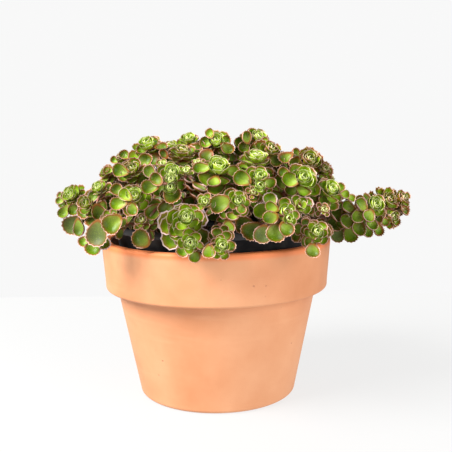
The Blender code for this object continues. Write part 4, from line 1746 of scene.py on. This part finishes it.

# Leaves that the photograph shows singly, listed one by one: the number of the front stem, the column and
# row of the leaf's middle on the photograph, its depth y, its radius in pixels, the way it faces and
# points, its age, how cupped it is and its tone.
BLADES: tuple[Blade, ...] = tuple(Blade(*row) for row in (
    (1, 72, 225, -22, 10, (-1, -9, 1), (-5, 0, -3), 0.8, 0.5, ASH),
    (1, 81, 229, -26, 8.5, (-4, -8, 0), (1, 0, -6), 0.55, 0.9, PALE),
    (1, 88, 220, -38, 8.5, (2, -8, 3), (-3, 0, -5), 0.97, 0.7, LILAC),
    (1, 59, 201, -13, 4.5, (-3, -8, 3), (-6, 0, 0), 0.45, 0.9, PALE),
    (1, 60, 195, -10, 4, (-4, -7, 4), (-5, 0, 3), 0.45, 0.9, PALE),
    (1, 63, 213, -14, 6.8, (-2, -8, 2), (-4, 0, -5), 0.38, 0.9, PALE),
    (1, 73, 211, -16, 6.5, (0, -8, 1), (0, 0, -5), 0.6, 0.8, GREEN),
    (2, 94, 196, -47, 6.5, (-1, -8, 4), (2, 0, 6), 0.8, 0.7, LILAC),
    (2, 99, 213, -58, 8, (3, -9, 0), (1, 0, -6), 0.95, 0.7, DEEP),
    (3, 111, 225, -81, 10.5, (-1, -9, 2), (-4, 0, -4), 0.82, 0.6, GREEN),
    (3, 97, 235, -77, 11.5, (-2, -9, 1), (-1, 0, -6), 0.85, 0.3, ASH),
    (3, 93, 249, -74, 8.5, (-2, -8, 3), (-2, 0, -5), 0.6, 0.5, LIME),
    (3, 103, 243, -73, 7, (4, -9, 0), (2, 0, -6), 0.97, 0.6, LILAC),
    (4, 139, 238, -76, 9.5, (2, -9, 1), (-5, 0, 4), 0.99, 0.5, DEEP),
    (4, 152, 213, -70, 9, (0, -8, 5), (-3, 0, -5), 0.75, 0.6, DEEP),
    (4, 166, 210, -72, 9, (2, -8, 4), (-2, 0, -6), 0.95, 0.6, DEEP),
    (8, 117, 204, -76, 8, (-1, -9, 3), (-5, 0, 0), 0.54, 0.8, LIME),
    (8, 124, 195, -75, 7, (-2, -9, 3), (-4, 0, 3), 0.38, 0.8, LIME),
    (8, 116, 189, -70, 7, (-1, -8, 3), (-4, 0, 4), 0.85, 0.8, GREEN),
    (8, 132, 210, -77, 6.5, (1, -9, 2), (0, 0, -6), 0.72, 0.6, GREEN),
    (12, 148, 188, -75, 9, (-1, -9, 3), (-5, 0, -1), 0.75, 0.9, GREEN),
    (12, 157, 179, -74, 7.5, (-3, -8, 3), (-4, 0, 3), 0.8, 0.9, GREEN),
    (12, 158, 190, -72, 8, (0, -9, 3), (-3, 0, -5), 0.6, 0.8, GREEN),
    (12, 148, 171, -61, 7, (2, -8, 4), (-3, 0, 4), 0.4, 0.8, PALE),
    (12, 172, 195, -73, 9.5, (1, -8, 2), (3, 0, -5), 0.9, 0.6, DEEP),
    (12, 188, 181, -66, 8.5, (4, -4, 7), (4, -4, -2), 0.8, 0.9, ROSE),
    (12, 191, 186, -68, 8.5, (4, -4, 7), (4, -4, -2), 0.9, 0.9, RUDDY),
    (12, 195, 191, -70, 8, (4, -4, 7), (4, -4, -2), 0.85, 0.9, ROSE),
    (12, 199, 195, -70, 7, (4, -5, 6), (4, -4, -2), 0.98, 0.9, RUDDY),
    (15, 218, 205, -86, 10, (-1, -9, 2), (-5, 0, -2), 0.72, 0.5, GREEN),
    (15, 230, 193, -84, 6.5, (0, -9, 3), (-2, 0, 5), 0.8, 0.6, GREEN),
    (15, 241, 209, -92, 5.5, (1, -8, 4), (1, 0, -5), 0.58, 0.7, LIME),
    (15, 231, 218, -90, 7.5, (1, -5, 8), (-3, -2, -3), 0.55, 0.8, BRONZE),
    (15, 229, 228, -86, 6.5, (0, -9, 1), (0, 0, -6), 0.42, 0.5, GREEN),
    (14, 231, 247, -96, 6.5, (2, -9, 3), (5, 0, -2), 0.66, 0.8, GREEN),
    (14, 199, 246, -97, 4.5, (-1, -9, 3), (-3, 0, 2), 0.52, 0.8, LIME),
    (14, 195, 258, -96, 6.5, (-1, -8, 4), (-2, 0, -5), 0.68, 0.6, LIME),
    (14, 209.5, 252, -98, 6.5, (0, -9, 2), (0, 0, -5), 0.45, 0.4, LIME),
    (25, 260, 211, -84, 10.5, (2, -9, 2), (-5, 0, -1), 0.55, 0.9, LILAC),
    (25, 269, 200, -81, 8, (1, -9, 2), (-2, 0, 5), 0.7, 0.8, LILAC),
    (25, 270, 207, -86, 7, (1, -9, 3), (-5, 0, 2), 0.5, 0.9, LIME),
    (25, 268, 219, -88, 8.5, (2, -9, 3), (-5, 0, -2), 0.7, 0.9, GREEN),
    (25, 250, 231, -82, 10, (-1, -9, 2), (-4, 0, -3), 0.95, 0.5, DEEP),
    (25, 262, 236, -88, 9.5, (0, -9, 3), (-2, 0, -6), 0.8, 0.5, ASH),
    (25, 275, 234, -90, 9.5, (0, -9, 3), (0, 0, -6), 0.9, 0.5, GREEN),
    (25, 287, 231, -92, 8, (1, -9, 3), (2, 0, -5), 0.9, 0.6, GREEN),
    (25, 242, 225, -78, 9, (-1, -9, 1), (-4, 0, 0), 0.95, 0.4, DEEP),
    (26, 312.5, 252, -91, 7.5, (0, -8, 3), (0, 0, -6), 0.85, 0.6, DEEP),
    (23, 289, 179, -69, 9, (-1, -9, 3), (-5, 0, 2), 0.5, 0.9, LIME),
    (23, 283, 173, -64, 7, (-1, -8, 4), (-5, 0, 3), 0.6, 0.9, BRONZE),
    (23, 291, 191, -66, 8, (0, -8, 4), (-3, 0, -5), 0.75, 0.9, BRONZE),
    (28, 360, 203, -50, 8, (4, -8, 3), (-4, 0, 4), 0.62, 0.9, ROSE),
    (28, 368, 217, -52, 8, (3, -8, 4), (-3, 0, -4), 0.5, 0.9, ROSE),
    (28, 371, 225, -50, 7.5, (2, -8, 4), (-1, 0, -5), 0.72, 0.9, ROSE),
    (28, 368, 232, -47, 7, (2, -8, 2), (-1, 0, -5), 0.7, 0.9, ROSE),
    (28, 356, 217, -52, 8.8, (4, -8, 3), (-5, 0, -2), 0.45, 0.9, ROSE),
    (28, 347, 207, -50, 8.2, (4, -8, 3), (-5, 0, 1), 0.66, 0.9, ROSE),
    (27, 345, 221, -50, 9.5, (4, -8, 3), (-5, 0, -1), 0.68, 0.9, ROSE),
    (27, 335, 213, -46, 9, (4, -8, 3), (-5, 0, 2), 0.82, 0.9, ROSE),
    (27, 334, 224, -46, 10, (4, -8, 3), (-5, 0, -2), 0.95, 0.8, DEEP),
    (27, 358, 230, -48, 9, (2, -8, 3), (-2, 0, -5), 0.9, 0.9, ROSE),
    (27, 338, 237, -44, 8.5, (1, -8, 3), (-2, 0, -5), 0.9, 0.7, ASH),
    (27, 350, 236, -42, 8.5, (1, -8, 2), (0, 0, -6), 0.65, 0.7, DEEP),
    (28, 378, 231, -40, 7.2, (3, -7, 2), (1, 0, -6), 0.6, 0.9, RUDDY),
    (28, 370, 208, -38, 9, (2, -8, 3), (0, 0, 5), 0.85, 0.7, DEEP),
    (24, 340, 187, -60, 5.5, (3, -8, 3), (4, 0, 4), 0.45, 0.8, LIME),
    (24, 345, 194, -58, 5, (3, -8, 3), (5, 0, 0), 0.4, 0.8, GREEN),
    (24, 352, 198, -54, 4.5, (4, -8, 3), (5, 0, -2), 0.45, 0.8, LIME),
    (19, 200, 170, -66, 9, (-2, -7, 6), (-6, 0, 0), 0.6, 0.9, LIME),
    (19, 234, 172, -66, 7.5, (2, -8, 4), (5, 0, -1), 0.5, 0.9, GREEN),
    (19, 213, 184, -74, 8.5, (0, -6, 7), (-1, -1, -5), 0.6, 0.9, GREEN),
    (21, 241, 178, -78, 9, (-1, -9, 2), (-4, 0, 3), 0.66, 0.8, LIME),
    (21, 271, 184, -76, 6.5, (1, -9, 2), (5, 0, -2), 0.6, 0.7, GREEN),
    (21, 254, 196, -78, 6.5, (0, -9, 1), (-1, 0, -5), 0.85, 0.5, GREEN),
    (7, 119, 170, -50, 8, (-1, -9, 3), (-5, 0, 1), 0.66, 0.8, LIME),
    (6, 114, 160, -6, 4.5, (-3, -8, 3), (-5, 0, 3), 0.6, 0.8, GREEN),
    (22, 302, 171, -54, 8, (0, -8, 4), (-2, 0, -5), 0.95, 0.8, BRONZE),
    (22, 293, 164, -51, 8, (4, -8, 2), (-4, 0, -3), 0.85, 0.8, BRONZE),
    (22, 291, 158, -48, 5.5, (3, -8, 3), (-4, 0, 2), 0.75, 0.9, RUDDY),
    (22, 296, 152, -46, 5.5, (3, -7, 4), (-3, 0, 4), 0.6, 0.9, RUDDY),
    (17, 243, 148, -36, 7, (2, -8, 3), (-4, 0, -2), 0.8, 0.8, GREEN),
    (17, 239, 142, -33, 7, (4, -8, 2), (-2, 0, 5), 0.6, 0.8, GREEN),
    (17, 251, 134, -32, 6.5, (3, -8, 3), (-0.5, 0, 6), 0.5, 0.9, GREEN),
    (17, 245, 139, -34, 6.5, (4, -8, 3), (-1, 0, 6), 0.65, 0.9, GREEN),
    (17, 255, 150, -38, 7, (0, -8, 4), (-1, 0, -5), 0.84, 0.9, BRONZE),
    (9, 163, 147, -20, 6.5, (2, -6, 7), (6, 0, 1), 0.6, 0.9, BRONZE),
    (9, 141, 150, -20, 6.5, (-3, -7, 5), (-5, 0, -3), 0.6, 0.8, BRONZE),
    (10, 162, 153, -42, 5.5, (2, -8, 4), (-3, 0, 3), 0.85, 0.9, RUDDY),
    (16, 226, 141, -38, 6.5, (3, -8, 3), (5, 0, 2), 0.6, 0.9, BRONZE),
    (16, 206, 142, -38, 7.5, (-3, -8, 3), (-5, 0, 0), 0.6, 0.9, GREEN),
    (16, 207, 151, -38, 7, (-3, -8, 2), (-4, 0, -4), 0.92, 0.9, BRONZE),
    (16, 212, 138, -37, 5.5, (-3, -7, 5), (-3, 0, 5), 0.5, 0.9, GREEN),
    (16, 226, 150, -40, 7.5, (2, -8, 3), (4, 0, -4), 0.8, 0.9, BRONZE),
    (6, 124, 155, -10, 6, (-2, -7, 5), (-3, 0, 4), 0.75, 0.9, GREEN),
    (5, 108, 172, -36, 6, (-2, -7, 5), (-4, 0, -2), 0.38, 0.9, BRONZE),
    (18, 282, 157, -44, 6.5, (-2, -7, 6), (5, 0, -1), 0.7, 0.9, RUDDY),
    (17, 265, 141, -37, 4.5, (-3, -7, 4), (4, 0, 4), 0.45, 0.9, RUDDY),
    (18, 270, 147, -39, 5, (-3, -7, 4), (3, 0, 4), 0.45, 0.9, RUDDY),
    (18, 276, 152, -40, 5, (-4, -7, 4), (5, 0, 3), 0.5, 0.9, RUDDY),
    (29, 405, 211, -16, 5.5, (6, -7, 1), (5, 0, -3), 0.6, 0.9, RUDDY),
    (29, 396, 222, -20, 6, (4, -8, 0), (3, 0, -5), 0.6, 0.9, RUDDY),
    (9, 146, 144, -16, 5.5, (-2, -6, 6), (-2, 0, 5), 0.6, 0.9, GREEN),
    (9, 153, 143, -16, 6, (2, -6, 6), (2, 0, 5), 0.5, 0.9, GREEN),
    (9, 151, 162, -22, 8, (0, -8, 4), (-2, 0, -5), 0.98, 0.6, BRONZE),
    (7, 145, 160, -40, 7.5, (1, -8, 4), (2, 0, 4), 0.8, 0.7, GREEN),
    (16, 207, 157, -40, 7.5, (0, -8, 4), (-2, 0, -5), 0.98, 0.6, BRONZE),
    (18, 277, 162, -48, 8, (0, -8, 4), (2, 0, -5), 0.95, 0.6, DEEP),
    (22, 286, 160, -46, 7, (-1, -8, 4), (-4, 0, -3), 0.9, 0.6, BRONZE),
    (3, 84, 242, -70, 6, (-2, -8, 3), (-4, 0, -3), 0.6, 0.5, GREEN),
    (1, 60, 204, -11, 4.5, (-3, -8, 3), (-5, 0, -1), 0.45, 0.9, PALE),
    (26, 327, 230, -72, 6.5, (2, -8, 3), (4, 0, 1), 0.99, 0.6, DEEP),
    (28, 375, 219, -36, 7.5, (2, -9, 2), (3, 0, -4), 0.99, 0.6, DEEP),
    (28, 366, 226, -36, 8, (2, -9, 2), (0, 0, -6), 0.92, 0.6, DEEP),
    (28, 383, 214, -34, 7, (2, -9, 2), (4, 0, -2), 0.9, 0.6, DEEP),
    (24, 331, 204, -52, 8, (2, -9, 3), (2, 0, -5), 0.92, 0.6, DEEP),
    (29, 391, 213, -20, 5, (3, -8, 2), (3, 0, -4), 0.55, 0.8, RUDDY),
    (29, 385, 223, -26, 5, (2, -8, 2), (1, 0, -6), 0.7, 0.8, RUDDY),
    (29, 401, 213, -15, 4.5, (4, -8, 1), (5, 0, -3), 0.5, 0.8, RUDDY),
    (29, 407, 196, -12, 4, (5, -7, 3), (5, 0, 2), 0.5, 0.8, RUDDY),
    (10, 197, 149, -38, 6.5, (2, -8, 4), (5, 0, -1), 0.85, 0.7, BRONZE),
    (16, 200, 145, -36, 5.5, (-3, -8, 3), (-5, 0, 2), 0.85, 0.7, BRONZE),
    (17, 237, 151, -36, 5.5, (2, -8, 2), (-4, 0, -2), 0.9, 0.7, DEEP),
    (28, 359, 199, -38, 5, (-1, -8, 4), (-3, 0, 4), 0.7, 0.8, BRONZE),
))


@dataclass
class Plant:
    """The whole plant: its stems stand in the soil, and its crowns form a low dome."""

    rule: RosetteRule = field(default_factory=RosetteRule)
    dome_centre: Vector = field(default_factory=lambda: Vector((8.0, 0.0, 112.0)))
    dome_reach: Vector = field(default_factory=lambda: Vector((108.0, 95.0, 66.0)))
    dome_share: float = 0.97
    dome_seeds: int = 29
    dome_turn: float = 1.7
    back_start: float = -20.0
    back_spacing: float = 22.0
    back_lowest: float = 131.0
    back_radius: Pair = (14.5, 16.5)
    back_turn: float = 40.0
    shoulder: float = 75.0
    shoulder_share: float = 0.5
    back_run: float = 26.0
    hole_foot: float = 101.3
    stem_rise: float = 20.0
    stem_arch: float = 0.18
    fork_share: float = 0.4
    fork_rise: float = 0.6
    trail_length: float = 18.0
    root_share: float = 0.58
    root_limit: float = 61.0
    root_spacing: float = 9.5
    root_rounds: int = 200
    root_overshoot: float = 0.1
    low_crown: float = 146.0
    lip_clear: float = 131.6
    lip_inside: float = 66.0
    lip_outside: float = 81.0
    leans: tuple[float, ...] = (0, -8, 8, -16, 16, -24, -32)
    shrinks: tuple[float, ...] = (1.0, 0.86, 0.72, 0.6)
    pushes: tuple[float, ...] = (0.0, 1.5, -1.5, 3.0, -3.0, 4.5, -4.5)
    slack: float = 0.80
    stems: list[LeafyStem] = field(default_factory=list)
    others: Thicket = field(default_factory=Thicket)
    own: dict[str, Thicket] = field(default_factory=dict)

    def back_crowns(self) -> list[tuple[Crown, ...]]:
        """Crowns that the photograph doesn't show, spread over the dome like sunflower seeds.

        Seed i of n lies at the root of (i + 0.5) / n of the way out and i golden angles round.

        Returns:
            The crowns of each stem, kept clear of the front ones.
        """
        draw = Draw(SEED)
        seen = [Vector(crown.place) for stem in FRONT_STEMS for crown in stem]
        stems = []
        tones = (GREEN, LIME, DEEP, GREEN, BRONZE)
        for i in range(self.dome_seeds):
            spread = math.sqrt((i + 0.5) / self.dome_seeds) * self.dome_share
            around = i * GOLDEN_ANGLE + self.dome_turn
            rise = math.sqrt(1.0 - spread * spread)
            way = Vector((spread * math.cos(around), spread * math.sin(around), rise))
            place = self.dome_centre + Vector([self.dome_reach[k] * way[k] for k in range(3)])
            place.z = max(place.z, self.back_lowest)
            if place.y < self.back_start or min((place - other).length for other in seen) < self.back_spacing:
                continue
            radius = draw.uniform(*self.back_radius)
            radius *= self.shoulder_share if place.x > self.shoulder else 1.0
            offset = place - self.dome_centre
            facing = unit([offset[k] / self.dome_reach[k] ** 2 for k in range(3)])
            stems.append((Crown(tuple(place), tuple(facing), radius, tones[i % len(tones)], run=self.back_run,
                                turn=i * self.back_turn),))
        return stems

    def roots(self, stems: list[tuple[Crown, ...]]) -> list[Vector]:
        """Where each stem stands in the soil, spread so that no two meet.

        Args:
            stems: Crowns of every stem.

        Returns:
            A flat place for each stem.
        """
        roots = []
        for crowns in stems:
            x, y, _ = crowns[0].place
            share = min(self.root_share, self.root_limit / math.hypot(x, y))
            roots.append(Vector((x * share, y * share)))
        for _ in range(self.root_rounds):
            moved = False
            for i, first in enumerate(roots):
                for second in roots[i + 1:]:
                    apart = second - first
                    if apart.length < self.root_spacing:
                        short = self.root_spacing - apart.length + self.root_overshoot
                        push = apart.normalized() * short * 0.5
                        first -= push
                        second += push
                        moved = True
            for root in roots:
                if root.length > self.root_limit:
                    root *= self.root_limit / root.length
            if not moved:
                break
        return roots

    def stem_knots(self, root: Vector, crown: Crown) -> list[Vector]:
        """Knots of a stem: straight up out of its hole, then over to the foot of its crown.

        Args:
            root: Its flat place in the soil.
            crown: Its first crown.

        Returns:
            The knots, from the hole to the crown's foot.
        """
        foot = Vector(crown.place) - crown.axis * crown.radius * self.rule.foot_share
        start = Vector((root.x, root.y, self.hole_foot))
        rise = start + Vector((0.0, 0.0, self.stem_rise))
        reach = math.hypot(foot.x, foot.y)
        if foot.z < self.low_crown and reach > self.lip_outside:
            over = [Vector((foot.x * r / reach, foot.y * r / reach, self.lip_clear))
                    for r in (self.lip_inside, self.lip_outside)]
            return [start, rise, *over, foot]
        if crown.trail:
            return [start, rise, foot + unit(crown.trail) * self.trail_length, foot]
        bow = Vector((0.0, 0.0, self.stem_arch * (foot - rise).length))
        return [start, rise, rise.lerp(foot, 0.5) + bow, foot]

    def plan(self) -> None:
        """Lay out every stem and the leaves that its crowns would like to have."""
        everything = [*FRONT_STEMS, *self.back_crowns()]
        draw = Draw(SEED)
        for i, (crowns, root) in enumerate(zip(everything, self.roots(everything))):
            seen = i < len(FRONT_STEMS)
            stem = LeafyStem(f"stem_{i + 1:02d}", FRONT_GRID if seen else BACK_GRID)
            for crown in crowns:
                if not stem.paths:
                    path = self.stem_knots(root, crown)
                else:
                    first = stem.paths[0]
                    fork = first[-2].lerp(first[-1], self.fork_share)
                    foot = Vector(crown.place) - crown.axis * crown.radius * self.rule.shoot_foot_share
                    path = [fork, fork.lerp(foot, self.fork_rise) - crown.axis, foot]
                stem.grow(crown, path, self.rule, draw)
            self.stems.append(stem)

    def clear_of_others(self, stem: LeafyStem, leaf: Leaf) -> bool:
        """Whether a slimmer copy of a leaf cuts nothing of another stem, nor a pot."""
        slim = CAGE_GRID.points([leaf.leaned(0.0, self.slack)])[0]
        return not self.others.meets(slim, CAGE_FACES, stem.name)

    def clear_of_own(self, stem: LeafyStem, leaf: Leaf) -> bool:
        """Whether the outer half of a slimmer copy of a leaf cuts no leaf placed on its own stem."""
        slim = TIP_GRID.points([leaf.leaned(0.0, self.slack)])[0]
        return not self.own[stem.name].meets(slim, CAGE_FACES, "")

    def keep(self, stem: LeafyStem, leaf: Leaf, owner: str) -> None:
        """Keep a placed leaf's cage, so that later leaves stay clear of it.

        Args:
            stem: Its stem.
            leaf: The leaf, in its place.
            owner: Name whose own leaves may cut it.
        """
        cage = CAGE_GRID.points([leaf])[0]
        self.others.add(owner, cage, CAGE_FACES)
        self.own[stem.name].add(stem.name, cage, CAGE_FACES)

    def place_picked(self, blade: Blade, draw: Draw) -> None:
        """Place a listed leaf, pushed a little along its normal where that clears it.

        Args:
            blade: The picked leaf.
            draw: Source of its small differences.
        """
        stem = self.stems[blade.stem - 1]
        planned = blade.leaf(draw)
        tries = (replace(planned, root=planned.root + planned.upper * push) for push in self.pushes)
        leaf = next((leaf for leaf in tries if self.clear_of_others(stem, leaf)), planned)
        self.keep(stem, leaf, "picked")
        stem.attach(leaf)

    def place_planned(self, stem: LeafyStem, planned: Leaf) -> bool:
        """Place a planned leaf as large and as upright as it goes without cutting another.

        Args:
            stem: Its stem.
            planned: The leaf as its crown would like it.

        Returns:
            Whether a place was found.
        """
        for shrink in self.shrinks:
            for lean in self.leans:
                leaf = planned.leaned(math.radians(lean), shrink)
                if self.clear_of_own(stem, leaf) and self.clear_of_others(stem, leaf):
                    self.keep(stem, leaf, stem.name)
                    stem.placed.append(leaf)
                    return True
        return False

    def settle(self, pots: list[Surface]) -> None:
        """Place every leaf, with stalks and hearts first, then the picked leaves, then the planned ones.

        Args:
            pots: Coarse shapes of the pots and the soil, which nothing may cut.
        """
        for pot in pots:
            self.others.add("pots", pot.points, pot.corners())
        for stem in self.stems:
            self.own[stem.name] = Thicket()
            for stalk in stem.tubes(stem.coarse_sides, 2):
                self.others.add(stem.name, stalk.points, stalk.corners())
            for leaf in stem.hearts:
                self.others.add(stem.name, CAGE_GRID.points([leaf])[0], CAGE_FACES)
        draw = Draw(SEED)
        for blade in BLADES:
            self.place_picked(blade, draw)
        dropped = 0
        for i in range(max(len(stem.plan) for stem in self.stems)):
            for stem in self.stems:
                if i < len(stem.plan) and not self.place_planned(stem, stem.plan[i]):
                    dropped += 1
        LOG.info("%d leaves placed, %d left out", sum(len(stem.placed) for stem in self.stems), dropped)

    def build(self, finishes: list[Material], pots: list[Surface]) -> None:
        """Plan, settle and make every stem.

        Args:
            finishes: Leaf and stem material.
            pots: Coarse shapes of the pots and the soil.
        """
        self.plan()
        self.settle(pots)
        for stem in self.stems:
            stem.build(finishes)


@dataclass(frozen=True)
class SoftLamp:
    """A square soft lamp: its place and side in metres, and its power in watts."""

    name: str
    place: Point
    side: float
    power: float
    target: Point = (0.0, 0.0, 0.12)

    def hang(self) -> None:
        """Hang the lamp so that it looks at its target."""
        light = bpy.data.lights.new(self.name, "AREA")
        light.shape = "SQUARE"
        light.size = self.side
        light.energy = self.power
        thing = bpy.data.objects.new(self.name, light)
        bpy.context.scene.collection.objects.link(thing)
        thing.location = self.place
        thing.rotation_euler = (Vector(self.target) - Vector(self.place)).to_track_quat("-Z", "Y").to_euler()


@dataclass
class Studio:
    """Plain pale floor, soft light and the camera at the photograph's angle, in metres."""

    floor_reach: float = 2.2
    floor_back: float = 0.308
    floor_drop: float = 0.05
    floor_cells: int = 8
    sky: float = 0.43
    backdrop: float = 0.94
    lamps: tuple[SoftLamp, ...] = (SoftLamp("key_lamp", (-0.85, -0.50, 1.00), 0.75, 44.5),
                                   SoftLamp("front_lamp", (0.95, -0.85, 0.50), 0.9, 13.5))

    def floor(self, finish: Material) -> None:
        """Lay the floor as a flat grid that ends a little behind the pot.

        Args:
            finish: The floor's material.
        """
        side = np.linspace(-self.floor_reach, self.floor_reach, self.floor_cells + 1) / MM
        depth = np.linspace(-self.floor_reach, self.floor_back, self.floor_cells + 1) / MM
        x, y = np.meshgrid(side, depth)
        points = np.stack([x.ravel(), y.ravel(), np.full(x.size, -self.floor_drop)], axis=-1)
        number = np.arange(x.size).reshape(x.shape)
        faces = np.stack([number[:-1, :-1], number[:-1, 1:], number[1:, 1:], number[1:, :-1]], axis=-1)
        add_piece("studio_floor", [Surface(points, [faces.reshape(-1, 4)])], [finish])

    def sky_light(self) -> None:
        """Fill the room with even white light, and show the camera a paler backdrop."""
        world = bpy.data.worlds.new("studio_sky")
        world.use_nodes = True
        nodes = world.node_tree.nodes
        back = nodes["Background"]
        back.inputs["Color"].default_value = (1.0, 1.0, 1.0, 1.0)
        seen = nodes.new("ShaderNodeMapRange")
        seen.inputs["To Min"].default_value = self.sky
        seen.inputs["To Max"].default_value = self.backdrop
        path = nodes.new("ShaderNodeLightPath")
        world.node_tree.links.new(path.outputs["Is Camera Ray"], seen.inputs["Value"])
        world.node_tree.links.new(seen.outputs[0], back.inputs["Strength"])
        bpy.context.scene.world = world

    def build(self, finish: Material) -> None:
        """Set up the floor, the sky, the lamps and the camera.

        Args:
            finish: The floor's material.
        """
        bpy.context.scene.view_settings.view_transform = "Standard"
        self.floor(finish)
        self.sky_light()
        for lamp in self.lamps:
            lamp.hang()
        CAMERA.stand()


def main() -> None:
    """Build the pots, the soil, the plant and the studio, and report each piece."""
    logging.basicConfig(level=logging.INFO, format="%(message)s")
    clay_pot = TerracottaPot()
    grow_pot = GrowPot()
    soil = Soil()
    clay_pot.build(ClayFinish().material())
    grow_pot.build(PlasticFinish().material())
    soil.build(grow_pot, SoilFinish().material())
    coarse = [turned(pot.profile(), COARSE_SIDES) for pot in (clay_pot, grow_pot)]
    Plant().build([LeafFinish().material(), StemFinish().material()], coarse)
    Studio().build(FloorFinish().material())


if __name__ == "__main__":
    main()
